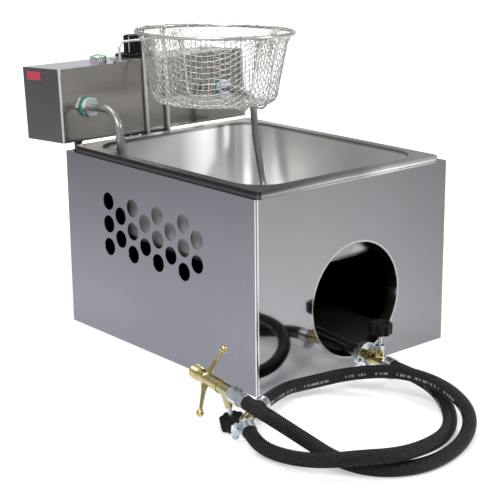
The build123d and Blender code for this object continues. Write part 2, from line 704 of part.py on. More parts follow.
def capillary_x():
    """The thermostat capillary runs beside the left leg, on its inner side."""
    return -ELEMENT_HALF_SPREAD + ELEMENT_RADIUS + CAPILLARY_RADIUS + HOLE_FIT


def capillary_exit_x():
    """Its hole in the head's front stands clear of the element's gasket."""
    return -ELEMENT_HALF_SPREAD + CAPILLARY_EXIT_OFFSET


def bulb_x():
    return -ELEMENT_HALF_SPREAD + BULB_OFFSET


def build_thermostat_bulb():
    """Sensing bulb on the braces with its capillary up the left leg."""
    x = capillary_x()
    start = HEAD_FRAME * Pos(capillary_exit_x(), ELEMENT_TAIL, ELEMENT_EXIT_UP)
    lead = HEAD_FRAME * Pos(capillary_exit_x(), -ELEMENT_NUT_THICKNESS, ELEMENT_EXIT_UP)
    join = HEAD_FRAME * Pos(x, -ELEMENT_REACH / 2, ELEMENT_EXIT_UP)
    elbow = HEAD_FRAME * Pos(x, -ELEMENT_REACH, ELEMENT_EXIT_UP)
    bulb_z = ELEMENT_RUN_Z - ELEMENT_RADIUS + BULB_RADIUS
    bulb_rear = ELEMENT_HEEL_Y - 46
    points = [
        tuple(start.position),
        tuple(lead.position),
        tuple(join.position),
        tuple(elbow.position),
        (x, ELEMENT_KNEE_Y, ELEMENT_KNEE_Z),
        (x, ELEMENT_HEEL_Y, ELEMENT_RUN_Z),
        (x, ELEMENT_HEEL_Y - 30, ELEMENT_RUN_Z),
        (bulb_x(), bulb_rear, bulb_z),
        (bulb_x(), bulb_rear - 8, bulb_z),
    ]
    bends = [8.0, 8.0, ELEMENT_ENTRY_BEND, ELEMENT_KNEE_BEND, 22.0, 5.0, 5.0]
    capillary = bent_bar(points, bends, CAPILLARY_RADIUS)
    bulb = Pos(bulb_x(), bulb_rear - 7, bulb_z) * Rot(90, 0, 0) * rod(BULB_RADIUS, BULB_LENGTH)
    return capillary + bulb


def build_capillary_clips():
    """Steel rings that hold the capillary to the element's left leg, under its elbow."""
    side = ELEMENT_RADIUS + CAPILLARY_RADIUS + HOLE_FIT
    ring = rod(ELEMENT_RADIUS + 1, CLIP_WIDTH)
    ring += Pos(side, 0, 0) * rod(CAPILLARY_RADIUS + 1, CLIP_WIDTH)
    ring -= rod(ELEMENT_RADIUS + HOLE_FIT, 3 * CLIP_WIDTH, -CLIP_WIDTH)
    ring -= Pos(side, 0, 0) * rod(CAPILLARY_RADIUS + HOLE_FIT, 3 * CLIP_WIDTH, -CLIP_WIDTH)
    elbow, knee = [Vector(point) for point in element_leg(-1)[1:3]]
    leg = Plane(origin=elbow, x_dir=(1, 0, 0), z_dir=knee - elbow).location
    return [leg * Pos(0, 0, drop) * ring for drop in CLIP_DROPS]


# ---------------------------------------------------------------- head controls
def build_thermostat():
    """Thermostat switch block under the cover."""
    width, depth, height = THERMOSTAT_SIZE
    top = HEAD_HEIGHT - HEAD_SHEET - HOLE_FIT
    body = Box(width, depth, height, align=(Align.CENTER, Align.CENTER, Align.MIN))
    body = Pos(0, KNOB_BACK, top - height) * body
    body -= Pos(0, KNOB_BACK, top) * rod(SPINDLE_RADIUS + RUNNING_FIT, 20, -14)
    return HEAD_FRAME * body


def build_terminal_block():
    width, depth, height = TERMINAL_SIZE
    block_part = Pos(TERMINAL_X, HEAD_DEPTH / 2, HEAD_SHEET + HOLE_FIT) * Box(
        width, depth, height, align=(Align.CENTER, Align.CENTER, Align.MIN)
    )
    for index in range(5):
        x = TERMINAL_X - width / 2 + TERMINAL_END + index * TERMINAL_PITCH
        block_part -= Pos(x, HEAD_DEPTH / 2, HEAD_SHEET + height) * rod(2.5, 8, -6)
    return HEAD_FRAME * block_part


def build_dial_plate():
    plate = tube(DIAL_RADIUS, SPINDLE_RADIUS + 1, DIAL_THICKNESS, HEAD_HEIGHT)
    return HEAD_FRAME * Pos(0, KNOB_BACK, 0) * plate


def fluted_disc(radius, height, flutes, flute_radius, start):
    """Round grip with hollow flutes cut into its edge."""
    disc = rod(radius, height, start)
    for index in range(flutes):
        angle = 360 / flutes * index
        flute = Pos(radius + 0.55 * flute_radius, 0, 0) * rod(flute_radius, height + 2, start - 1)
        disc -= Rot(0, 0, angle) * flute
    return disc


def build_thermostat_knob():
    """Skirted knob: a dished skirt and a fluted grip, bored for the spindle."""
    skirt_start = HEAD_HEIGHT + SKIRT_TOP_UP - SKIRT_THICKNESS
    knob = rod(SKIRT_RADIUS, SKIRT_THICKNESS, skirt_start)
    knob += fluted_disc(
        KNOB_RADIUS, KNOB_TOP_UP - SKIRT_TOP_UP, KNOB_FLUTES, 2.0, HEAD_HEIGHT + SKIRT_TOP_UP
    )
    knob -= rod(SPINDLE_RADIUS + HOLE_FIT, KNOB_TOP_UP - 6, HEAD_HEIGHT - 1)
    return HEAD_FRAME * Pos(0, KNOB_BACK, 0) * knob


def build_thermostat_spindle():
    start = HEAD_HEIGHT - 12
    spindle = rod(SPINDLE_RADIUS, KNOB_TOP_UP + 12 - 8, start)
    return HEAD_FRAME * Pos(0, KNOB_BACK, 0) * spindle


def build_pilot_bezel():
    """Chromed lamp body: bezel above the cover, threaded barrel below it."""
    bezel = rod(PILOT_RADIUS, PILOT_HEIGHT, HEAD_HEIGHT)
    bezel = fillet(bezel.edges().group_by(Axis.Z)[-1], 1.5)
    bezel += rod(PILOT_BODY_RADIUS, PILOT_BODY_LENGTH, HEAD_HEIGHT - PILOT_BODY_LENGTH)
    bezel -= rod(PILOT_LENS_RADIUS + HOLE_FIT, 3, HEAD_HEIGHT + PILOT_HEIGHT - 2)
    return HEAD_FRAME * Pos(PILOT_X, PILOT_BACK, 0) * bezel


def build_pilot_lens():
    """Green domed lens seated in the bezel."""
    base = HEAD_HEIGHT + PILOT_HEIGHT - 2
    seat = rod(PILOT_LENS_RADIUS, 2, base)
    sphere_radius = (PILOT_LENS_RADIUS**2 + PILOT_LENS_RISE**2) / (2 * PILOT_LENS_RISE)
    centre = HEAD_HEIGHT + PILOT_HEIGHT + PILOT_LENS_RISE - sphere_radius
    dome = Pos(0, 0, centre) * Sphere(sphere_radius)
    dome &= rod(PILOT_LENS_RADIUS, PILOT_LENS_RISE + 1, HEAD_HEIGHT + PILOT_HEIGHT)
    return HEAD_FRAME * Pos(PILOT_X, PILOT_BACK, 0) * (seat + dome)


def build_pilot_nut():
    nut = hexagon_bar(18.0, 3.0, HEAD_HEIGHT - HEAD_SHEET - HOLE_FIT - 3.0)
    nut -= rod(PILOT_BODY_RADIUS + HOLE_FIT, 20, HEAD_HEIGHT - 12)
    return HEAD_FRAME * Pos(PILOT_X, PILOT_BACK, 0) * nut


def build_guard_rail():
    """Low wire rail along the front of the head's top."""
    low = HEAD_HEIGHT + RAIL_FOOT_THICKNESS
    high = HEAD_HEIGHT + RAIL_HEIGHT
    points = [
        (-RAIL_HALF_SPAN, RAIL_BACK, low),
        (-RAIL_HALF_SPAN, RAIL_BACK, high),
        (RAIL_HALF_SPAN, RAIL_BACK, high),
        (RAIL_HALF_SPAN, RAIL_BACK, low),
    ]
    return HEAD_FRAME * bent_bar(points, [RAIL_BEND, RAIL_BEND], RAIL_RADIUS)


def build_rail_feet():
    feet = []
    for side in (-1, 1):
        plate = Pos(side * RAIL_HALF_SPAN, RAIL_BACK, HEAD_HEIGHT) * extrude(
            RectangleRounded(RAIL_FOOT_LENGTH, RAIL_FOOT_WIDTH, 2.0), RAIL_FOOT_THICKNESS
        )
        feet.append(HEAD_FRAME * plate)
    return feet


# ---------------------------------------------------------------- basket
def basket_wall_radius(drop, inset=0.0):
    """Outer mesh radius at a drop below the rim wire's centre, on the sloping wall."""
    share = (drop - BASKET_NECK_DROP) / (BASKET_DEPTH - BASKET_NECK_DROP)
    return BASKET_NECK_RADIUS + (BASKET_FLOOR_RADIUS - BASKET_NECK_RADIUS) * share - inset


def basket_bowl(inset):
    """Solid of revolution of the basket's shape, drawn in by inset."""
    top = -RIM_WIRE_RADIUS - SEAT_GAP
    flare = RIM_RADIUS - RIM_WIRE_RADIUS
    floor = -BASKET_DEPTH + inset
    profile = Polygon(
        (0, floor),
        (basket_wall_radius(BASKET_DEPTH, inset), floor),
        (BASKET_NECK_RADIUS - inset, -BASKET_NECK_DROP),
        (flare - inset, top),
        (0, top),
        align=None,
    )
    bowl = revolve(Plane.XZ * profile, axis=Axis.Z)
    return fillet(bowl.edges().group_by(Axis.Z)[0], BASKET_CORNER - inset)


def build_basket_mesh():
    """Round bucket of woven wire, open at the top."""
    bowl = basket_bowl(0) - basket_bowl(MESH_THICKNESS)
    lid = -RIM_WIRE_RADIUS - SEAT_GAP
    inner = RIM_RADIUS - RIM_WIRE_RADIUS - MESH_THICKNESS
    bowl -= rod(inner - 0.2, 1.0, lid - 0.2)
    return BASKET_FRAME * bowl


def build_basket_rim():
    return BASKET_FRAME * Torus(RIM_RADIUS, RIM_WIRE_RADIUS)


def frame_wire(rim_offset, floor_offset):
    """One U-shaped wire down the front wall, under the floor and up the rear wall."""
    gap = FRAME_WIRE_RADIUS + SEAT_GAP
    rim = RIM_RADIUS - RIM_WIRE_RADIUS + gap
    neck = BASKET_NECK_RADIUS + gap
    floor = basket_wall_radius(BASKET_DEPTH) + gap
    neck_offset = rim_offset + (floor_offset - rim_offset) * BASKET_NECK_DROP / BASKET_DEPTH
    stations = [
        (rim_offset, -1, rim, -RIM_WIRE_RADIUS - SEAT_GAP),
        (neck_offset, -1, neck, -BASKET_NECK_DROP),
        (floor_offset, -1, floor, -BASKET_DEPTH - gap),
        (floor_offset, 1, floor, -BASKET_DEPTH - gap),
        (floor_offset, 1, neck, -BASKET_NECK_DROP),
        (floor_offset, 1, rim, -RIM_WIRE_RADIUS - SEAT_GAP),
    ]
    points = [(x, side * sqrt(radius**2 - x**2), z) for x, side, radius, z in stations]
    return bent_bar(points, [8.0, BASKET_CORNER, BASKET_CORNER, 8.0], FRAME_WIRE_RADIUS)


def build_basket_frame():
    return [BASKET_FRAME * frame_wire(rim_offset, floor_offset) for rim_offset, floor_offset in FRAME_WIRES]


def hanger_tip(x):
    """Point on the rim's outer edge, in the head's frame, where the hanger at x meets it."""
    reach = RIM_RADIUS + RIM_WIRE_RADIUS + HOLE_FIT
    across = abs(x - BASKET_X) - HANGER_RADIUS
    along = sqrt(reach**2 - across**2)
    side = 1 if x > BASKET_X else -1
    return (BASKET_POSE * Pos(side * across, along, 0)).position


def build_basket_hangers():
    """Two upright rods that plug into the head bracket and reach the basket's rim."""
    foot = -BRACKET_LEG_DROP - BRACKET_SHEET
    hangers = []
    for x in HANGER_X:
        tip = hanger_tip(x)
        points = [(x, -HANGER_FORWARD, foot), (x, -HANGER_FORWARD, tip.Z), (x, tip.Y, tip.Z)]
        hangers.append(HEAD_FRAME * bent_bar(points, [HANGER_BEND], HANGER_RADIUS))
    return hangers


# ---------------------------------------------------------------- gas burner
def build_mixing_tube():
    """Venturi tube from the air shutter to the burner head."""
    outer = Polygon(
        (0, 0),
        (BELL_FLANGE_RADIUS, 0),
        (BELL_FLANGE_RADIUS, 1),
        (BELL_RADIUS, 1),
        (TUBE_RADIUS, BELL_LENGTH),
        (TUBE_RADIUS, TUBE_LENGTH),
        (0, TUBE_LENGTH),
        align=None,
    )
    inner = Polygon(
        (0, 1),
        (BELL_RADIUS - TUBE_WALL, 1),
        (TUBE_RADIUS - TUBE_WALL, BELL_LENGTH),
        (TUBE_RADIUS - TUBE_WALL, TUBE_LENGTH + 1),
        (0, TUBE_LENGTH + 1),
        align=None,
    )
    body = revolve(outer, axis=Axis.Y) - revolve(inner, axis=Axis.Y)
    body -= along_y(rod(JET_RADIUS + HOLE_FIT, 4, -2))
    for index in range(AIR_WINDOWS):
        window = Pos((BELL_RADIUS + JET_RADIUS) / 2 + 0.4, 0, 0) * rod(1.4, 4, -2)
        body -= along_y(Rot(0, 0, 360 / AIR_WINDOWS * index) * window)
    return BURNER_FRAME * body


def build_air_shutter():
    """Turning dish with air windows, in front of the mixing tube's flange."""
    face = -SEAT_GAP
    dish = rod(SHUTTER_RADIUS, SHUTTER_DEPTH, face - SHUTTER_DEPTH)
    dish -= rod(SHUTTER_RADIUS - SHUTTER_SHEET, SHUTTER_DEPTH, face - SHUTTER_DEPTH - SHUTTER_SHEET)
    dish -= rod(JET_RADIUS + RUNNING_FIT, 20, -15)
    for index in range(AIR_WINDOWS):
        window = Pos(JET_RADIUS + AIR_WINDOW_RADIUS + 1.0, 0, 0) * rod(AIR_WINDOW_RADIUS, 6, -4)
        dish -= Rot(0, 0, 360 / AIR_WINDOWS * index) * window
    return BURNER_FRAME * along_y(dish)


def build_burner_jet():
    """Brass jet holder: the shutter turns on it and its nose blows into the bell."""
    spine = rod(JET_RADIUS, 13.0, -12.0)
    nose = rod(2.4, 9.0, 1.0)
    holder = spine + nose - rod(0.5, 30, -13)
    return BURNER_FRAME * along_y(holder)


def build_valve_body():
    """Brass needle-valve body with a tower for the stem and a shoulder for the hose."""
    start = -VALVE_LENGTH
    barrel = rod(VALVE_BODY_RADIUS, VALVE_LENGTH - 12.0 - HOLE_FIT, start)
    barrel += hexagon_bar(2 * VALVE_BODY_RADIUS + 1.5, 5.0, -12.0 - HOLE_FIT - 5.0)
    barrel += rod(VALVE_BODY_RADIUS + 0.8, 3.0, start)
    body = along_y(barrel)
    tower = Pos(0, -VALVE_STEM_BACK, 0) * rod(TOWER_RADIUS, TOWER_HEIGHT)
    bore = Pos(0, -VALVE_STEM_BACK, 0) * rod(STEM_RADIUS + RUNNING_FIT, TOWER_HEIGHT, 5.0)
    return BURNER_FRAME * (body + tower - bore)


def build_valve_gland():
    nut = hexagon_bar(GLAND_HEX_ACROSS_FLATS, GLAND_HEX_HEIGHT, TOWER_HEIGHT)
    nut -= rod(STEM_RADIUS + RUNNING_FIT, 30)
    return BURNER_FRAME * Pos(0, -VALVE_STEM_BACK, 0) * nut


def build_valve_stem():
    stem = rod(STEM_RADIUS, VALVE_KNOB_RISE + HAND_KNOB_HEIGHT - 4 - 6, 6)
    return BURNER_FRAME * Pos(0, -VALVE_STEM_BACK, 0) * stem


def hand_knob(stem_radius):
    """Lobed knob along +Z from z = 0, bored for its stem from below."""
    knob = fluted_disc(HAND_KNOB_RADIUS, HAND_KNOB_HEIGHT, HAND_KNOB_LOBES, 3.4, 0)
    knob -= rod(HAND_KNOB_RADIUS - 3.5, 1.5, HAND_KNOB_HEIGHT - 1.0)
    return knob - rod(stem_radius + HOLE_FIT, HAND_KNOB_HEIGHT - 3.5, -0.5)


def build_valve_knob():
    return BURNER_FRAME * Pos(0, -VALVE_STEM_BACK, VALVE_KNOB_RISE) * hand_knob(STEM_RADIUS)


def burner_head_frame():
    return BURNER_FRAME * Pos(0, BURNER_HEAD_FORWARD, 0)


def build_burner_head():
    """Cast bowl on a neck, with a socket for the mixing tube."""
    profile = Polygon(
        (0, -BURNER_NECK_DROP),
        (BURNER_NECK_RADIUS, -BURNER_NECK_DROP),
        (BURNER_NECK_RADIUS, BURNER_NECK_RISE),
        (BURNER_HEAD_RADIUS, BURNER_BOWL_RISE - 5),
        (BURNER_HEAD_RADIUS, BURNER_BOWL_RISE),
        (BURNER_HEAD_RADIUS - 6, BURNER_BOWL_RISE),
        (BURNER_NECK_RADIUS - 4, BURNER_NECK_RISE + 2),
        (BURNER_NECK_RADIUS - 4, 0),
        (0, 0),
        align=None,
    )
    head = revolve(Plane.XZ * profile, axis=Axis.Z)
    socket_start = TUBE_LENGTH - BURNER_HEAD_FORWARD - 6
    socket_length = -socket_start - BURNER_NECK_RADIUS + 6
    head += along_y(rod(TUBE_RADIUS + BURNER_SOCKET_WALL, socket_length, socket_start))
    head -= along_y(rod(TUBE_RADIUS + HOLE_FIT, TUBE_LENGTH, HOLE_FIT - BURNER_HEAD_FORWARD))
    passage_start = TUBE_LENGTH - BURNER_HEAD_FORWARD - SHEET
    head -= along_y(rod(TUBE_RADIUS - TUBE_WALL, BURNER_PASSAGE_END - passage_start, passage_start))
    head -= rod(BURNER_SCREW_RADIUS + SHEET_FIT, BURNER_SCREW_GRIP + 2, -BURNER_NECK_DROP - 1)
    return burner_head_frame() * head


def build_burner_cap():
    """Loose cap with a ring of flame ports, seated on the bowl's rim."""
    base = BURNER_BOWL_RISE + HOLE_FIT
    cap = rod(BURNER_HEAD_RADIUS - 1, BURNER_CAP_HEIGHT, base)
    cap -= rod(BURNER_HEAD_RADIUS - 7, BURNER_CAP_HEIGHT - 2, base - HOLE_FIT)
    for index in range(BURNER_PORTS):
        port = Rot(0, 90, 0) * Cylinder(BURNER_PORT_RADIUS, BURNER_PORT_LENGTH)
        port = Pos(BURNER_HEAD_RADIUS - 4, 0, base + 2.5) * port
        cap -= Rot(0, 0, 360 / BURNER_PORTS * index) * port
    return burner_head_frame() * cap


def crossbar_top():
    """Height just under the lowest edge of the burner head's leaning foot."""
    foot = burner_head_frame() * Pos(0, -BURNER_NECK_RADIUS, -BURNER_NECK_DROP)
    return foot.position.Z - SHEET_FIT


def build_burner_crossbar():
    """Strap across the housing that carries the burner, standing on the side flanges."""
    top = crossbar_top()
    y0 = burner_head_frame().position.Y - CROSSBAR_WIDTH / 2
    y1 = y0 + CROSSBAR_WIDTH
    inner = HOUSING_WIDTH / 2 - BOTTOM_FLANGE
    outer = HOUSING_WIDTH / 2 - SHEET - SEAT_GAP
    bar = block(-inner, inner, y0, y1, top - CROSSBAR_SHEET, top)
    for side in (-1, 1):
        leg = sorted((side * inner, side * (inner + CROSSBAR_SHEET)))
        foot = sorted((side * inner, side * outer))
        bar += block(leg[0], leg[1], y0, y1, SHEET, top)
        bar += block(foot[0], foot[1], y0, y1, SHEET, SHEET + CROSSBAR_SHEET)
    hole_start = -BURNER_NECK_DROP - CROSSBAR_HOLE_REACH
    screw_hole = rod(BURNER_SCREW_RADIUS + 0.8, 2 * CROSSBAR_HOLE_REACH, hole_start)
    return bar - burner_head_frame() * screw_hole


def build_burner_screw():
    """Screw from under the crossbar into the burner head's neck."""
    lean = BURNER_NECK_RADIUS * sin(radians(BURNER_TILT))
    base = -BURNER_NECK_DROP - lean - CROSSBAR_SHEET - SHEET_FIT - SEAT_GAP
    shank = BURNER_SCREW_GRIP - BURNER_NECK_DROP - base
    screw = hexagon_bar(8.0, 3.0, base - 3.0) + rod(BURNER_SCREW_RADIUS, shank, base)
    return burner_head_frame() * screw


# ---------------------------------------------------------------- connector
def build_wing_screw():
    """Nose, collar and hub in one piece, with two tapering ball-ended arms."""
    screw = rod(HUB_RADIUS, WING_HUB_END)
    screw += rod(NOSE_RADIUS, NOSE_LENGTH)
    screw += rod(HUB_COLLAR_RADIUS, HUB_COLLAR_END - HUB_COLLAR_START, HUB_COLLAR_START)
    root = (0, 0, WING_PLANE)
    tip = (WING_REACH, 0, WING_PLANE + WING_SWEEP)
    arm_length = hypot(WING_REACH, WING_SWEEP)
    arm = Cone(WING_ROOT_RADIUS, WING_TIP_RADIUS, arm_length, align=(Align.CENTER, Align.CENTER, Align.MIN))
    for turn in (0, 180):
        place = Rot(0, 0, WING_ANGLE + turn)
        screw += place * frame_between(root, tip) * arm
        screw += place * Pos(*tip) * Sphere(WING_BALL_RADIUS)
    screw -= rod(SPIGOT_RADIUS + RUNNING_FIT, 2 * WING_HUB_END, -WING_HUB_END / 2)
    return CONNECTOR_FRAME * screw


def build_connector_body():
    """Swivel spigot, barrel and slanting side branch for the shut-off valve."""
    body = rod(SPIGOT_RADIUS, WING_HUB_END + SEAT_GAP - 1.0, 1.0)
    body += rod(CONNECTOR_RADIUS, CONNECTOR_BODY_END - WING_HUB_END - SEAT_GAP, WING_HUB_END + SEAT_GAP)
    base = (Align.CENTER, Align.CENTER, Align.MIN)
    branch = Cone(BRANCH_ROOT_RADIUS, BRANCH_TIP_RADIUS, BRANCH_LENGTH, align=base)
    body += branch_frame() * branch
    body -= branch_frame() * rod(SIDE_STEM_RADIUS + RUNNING_FIT, BRANCH_LENGTH, 8.0)
    body -= tube(RING_RADIUS + 2, CONNECTOR_RADIUS - 0.8, RING_END - RING_START, RING_START)
    body -= rod(1.5, CONNECTOR_BODY_END, 0)
    return CONNECTOR_FRAME * body


def branch_frame():
    """Side branch: +Z points out of the barrel, down and slightly to the housing's side."""
    angle = radians(BRANCH_ANGLE)
    direction = Vector(sin(angle), -cos(angle), 0)
    return Plane(origin=(0, 0, BRANCH_POSITION), x_dir=(0, 0, 1), z_dir=direction).location


def build_body_ring():
    ring = tube(RING_RADIUS, CONNECTOR_RADIUS - 0.8 + HOLE_FIT, RING_END - RING_START - HOLE_FIT, RING_START)
    return CONNECTOR_FRAME * ring


def build_side_stem():
    length = SIDE_KNOB_START + HAND_KNOB_HEIGHT - 4 - 9
    return CONNECTOR_FRAME * branch_frame() * rod(SIDE_STEM_RADIUS, length, 9)


def build_side_knob():
    return CONNECTOR_FRAME * branch_frame() * Pos(0, 0, SIDE_KNOB_START) * hand_knob(SIDE_STEM_RADIUS)


def build_hose_nut():
    nut = hexagon_bar(HOSE_NUT_ACROSS_FLATS, HOSE_NUT_LENGTH, CONNECTOR_BODY_END + HOLE_FIT)
    nut -= rod(4.0, CONNECTOR_LENGTH, 0)
    return CONNECTOR_FRAME * nut


def build_hose_tail():
    start = CONNECTOR_BODY_END + 2 * HOLE_FIT + HOSE_NUT_LENGTH
    tail = hexagon_bar(HOSE_TAIL_ACROSS_FLATS, CONNECTOR_LENGTH - start, start)
    tail += rod(4.0 - HOLE_FIT, HOSE_NUT_LENGTH, start - HOSE_NUT_LENGTH)
    return CONNECTOR_FRAME * tail


# ---------------------------------------------------------------- hose
def build_outer_hose():
    return bent_bar(OUTER_LOOP, hose_radii(OUTER_LOOP), HOSE_RADIUS)


def build_inner_hose():
    return bent_bar(INNER_LOOP, hose_radii(INNER_LOOP), HOSE_RADIUS)


def build_hose_joiner():
    """Brass joiner with a slight elbow between the two hose lengths."""
    long_leg = Plane(origin=OUTER_LOOP[-1], z_dir=Vector(OUTER_LOOP[-1]) - Vector(OUTER_LOOP[-2])).location
    short_leg = Plane(origin=INNER_LOOP[0], z_dir=Vector(INNER_LOOP[0]) - Vector(INNER_LOOP[1])).location
    hex_start = (JOINER_LONG_LEG - JOINER_HEX_LENGTH) / 2
    joiner = long_leg * rod(JOINER_RADIUS, JOINER_LONG_LEG)
    joiner += long_leg * hexagon_bar(JOINER_HEX_ACROSS_FLATS, JOINER_HEX_LENGTH, hex_start)
    joiner += long_leg * Pos(0, 0, JOINER_LONG_LEG) * Sphere(JOINER_RADIUS)
    joiner += short_leg * rod(JOINER_RADIUS, JOINER_SHORT_LEG)
    return joiner


def clamp_frames():
    """Clamp frames: +Z along the hose from its end, +X towards the screw housing."""
    ends = [
        (OUTER_LOOP[-1], OUTER_LOOP[-2], (0, 0, -1)),
        (INNER_LOOP[0], INNER_LOOP[1], (-0.9, 0.5, 0)),
        (INNER_LOOP[-1], INNER_LOOP[-2], (0.2, 0, -1)),
    ]
    frames = []
    for end, inner, towards in ends:
        along = (Vector(inner) - Vector(end)).normalized()
        across = Vector(towards) - along * Vector(towards).dot(along)
        frames.append(Plane(origin=end, x_dir=across, z_dir=along).location)
    return frames


def build_hose_clamps():
    """Worm-drive bands with their screw housings."""
    width, length, height = CLAMP_HOUSING
    inner = HOSE_RADIUS + SHEET_FIT
    housing = Box(height, length, width, align=(Align.MIN, Align.CENTER, Align.CENTER))
    screw_bore = Rot(90, 0, 0) * Cylinder(CLAMP_SCREW_RADIUS + HOLE_FIT, 2 * length)
    band = tube(inner + CLAMP_BAND, inner, CLAMP_WIDTH, -CLAMP_WIDTH / 2)
    band += Pos(inner + CLAMP_BAND / 2, 0, 0) * housing
    band -= Pos(inner + CLAMP_BAND + height / 2, 0, 0) * screw_bore
    return [frame * Pos(0, 0, CLAMP_END_MARGIN) * band for frame in clamp_frames()]


def build_clamp_screws():
    width, length, height = CLAMP_HOUSING
    offset = HOSE_RADIUS + SHEET_FIT + CLAMP_BAND + height / 2
    screw = rod(CLAMP_SCREW_RADIUS, CLAMP_SCREW_LENGTH, -length / 2)
    screw += hexagon_bar(2 * CLAMP_SCREW_RADIUS + 1.6, 3.0, length / 2 + 1.0)
    screw = Pos(offset, 0, CLAMP_END_MARGIN) * Rot(90, 0, 0) * screw
    return [frame * screw for frame in clamp_frames()]


# ---------------------------------------------------------------- output
NODES = {
    "housing_wrap": build_housing_wrap,
    "rear_panel": build_rear_panel,
    "rear_rivets": build_rear_rivets,
    "opening_collar": build_opening_collar,
    "pan": build_pan,
    "head_tray": build_head_tray,
    "head_cover": build_head_cover,
    "cover_screws": build_cover_screws,
    "head_bracket": build_head_bracket,
    "bracket_screws": build_bracket_screws,
    "cable_gland": build_cable_gland,
    "rating_label": build_rating_label,
    "heating_element": build_heating_element,
    "element_gaskets": build_element_gaskets,
    "element_nuts": build_element_nuts,
    "element_braces": build_element_braces,
    "thermostat_bulb": build_thermostat_bulb,
    "capillary_clips": build_capillary_clips,
    "thermostat": build_thermostat,
    "terminal_block": build_terminal_block,
    "dial_plate": build_dial_plate,
    "thermostat_knob": build_thermostat_knob,
    "thermostat_spindle": build_thermostat_spindle,
    "pilot_bezel": build_pilot_bezel,
    "pilot_lens": build_pilot_lens,
    "pilot_nut": build_pilot_nut,
    "guard_rail": build_guard_rail,
    "rail_feet": build_rail_feet,
    "basket_mesh": build_basket_mesh,
    "basket_rim": build_basket_rim,
    "basket_frame": build_basket_frame,
    "basket_hangers": build_basket_hangers,
    "mixing_tube": build_mixing_tube,
    "air_shutter": build_air_shutter,
    "burner_jet": build_burner_jet,
    "valve_body": build_valve_body,
    "valve_gland": build_valve_gland,
    "valve_stem": build_valve_stem,
    "valve_knob": build_valve_knob,
    "burner_head": build_burner_head,
    "burner_cap": build_burner_cap,
    "burner_crossbar": build_burner_crossbar,
    "burner_screw": build_burner_screw,
    "wing_screw": build_wing_screw,
    "connector_body": build_connector_body,
    "body_ring": build_body_ring,
    "side_stem": build_side_stem,
    "side_knob": build_side_knob,
    "hose_nut": build_hose_nut,
    "hose_tail": build_hose_tail,
    "outer_hose": build_outer_hose,
    "inner_hose": build_inner_hose,
    "hose_joiner": build_hose_joiner,
    "hose_clamps": build_hose_clamps,
    "clamp_screws": build_clamp_screws,
}


def main():
    os.makedirs("parts", exist_ok=True)
    for name, build in NODES.items():
        shape = build()
        if isinstance(shape, list):
            shape = Compound(children=shape)
        export_step(shape, f"parts/{name}.step")
    for name, route in (("outer hose", OUTER_LOOP), ("inner hose", INNER_LOOP)):
        print(name, "bend radii", [round(radius, 1) for radius in hose_radii(route)])


main()
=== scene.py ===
"""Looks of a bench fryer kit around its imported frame: finishes, hoses, woven basket and studio."""

import logging
import math
import random
from dataclasses import dataclass, field, replace
from enum import Enum
from typing import Iterable, Optional, Sequence

import bmesh
import bpy
from bmesh.types import BMEdge, BMesh, BMLayerItem, BMVert
from bpy.types import Curve, Material, Mesh, Node, NodeOutputs, NodeSocket, NodeTree, Object, Spline
from mathutils import Matrix, Vector

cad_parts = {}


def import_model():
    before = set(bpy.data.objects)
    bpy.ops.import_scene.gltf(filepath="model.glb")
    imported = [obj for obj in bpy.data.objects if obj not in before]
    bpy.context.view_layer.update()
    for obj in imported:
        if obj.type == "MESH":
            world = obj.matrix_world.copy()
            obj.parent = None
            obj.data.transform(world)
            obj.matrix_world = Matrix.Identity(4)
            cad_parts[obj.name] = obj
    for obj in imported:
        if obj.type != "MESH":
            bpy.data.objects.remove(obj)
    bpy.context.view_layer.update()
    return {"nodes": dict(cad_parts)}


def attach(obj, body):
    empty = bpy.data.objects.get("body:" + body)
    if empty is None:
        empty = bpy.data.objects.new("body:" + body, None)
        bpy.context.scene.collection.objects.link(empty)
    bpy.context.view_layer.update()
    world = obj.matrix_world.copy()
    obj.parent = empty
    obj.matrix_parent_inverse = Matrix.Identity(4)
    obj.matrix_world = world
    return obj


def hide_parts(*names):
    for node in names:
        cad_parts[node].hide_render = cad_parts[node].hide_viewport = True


LOG = logging.getLogger("bench_fryer")
MM = 0.001
Colour = tuple[float, float, float]
Point = tuple[float, float, float]
Pair = tuple[float, float]
# a mapped range: the results at its start and end, then the values where it starts and ends
Span = tuple[float, float, float, float]

HEAD_FRAME = Matrix.Translation((0, 0.1757, 0.2135)) @ Matrix.Rotation(math.radians(-3.2), 4, "X")
BASKET_FRAME = (
    HEAD_FRAME
    @ Matrix.Translation((-0.0030, -0.1222, 0.1215))
    @ Matrix.Rotation(math.radians(2.6), 4, "X")
    @ Matrix.Rotation(math.radians(1.9), 4, "Y")
)
BURNER_FRAME = (
    Matrix.Translation((-0.0104, -0.1896, 0.0233))
    @ Matrix.Rotation(math.radians(-2.84), 4, "Z")
    @ Matrix.Rotation(math.radians(2.17), 4, "X")
)
CONNECTOR_HEADING = math.radians(9.26)
BRANCH_ANGLE = math.radians(12.0)


def frame_from(origin: Sequence[float], x_axis: Sequence[float], z_axis: Sequence[float]) -> Matrix:
    """Place of a part from its origin and two of its axes.

    Args:
        origin: where the part's own origin lies.
        x_axis: direction of its X axis, made square to z_axis.
        z_axis: direction of its Z axis.

    Returns:
        The 4x4 matrix from the part's own frame.
    """
    up = Vector(z_axis).normalized()
    across = Vector(x_axis)
    across = (across - up * across.dot(up)).normalized()
    turned = Matrix((across, up.cross(across), up)).transposed().to_4x4()
    return Matrix.Translation(origin) @ turned


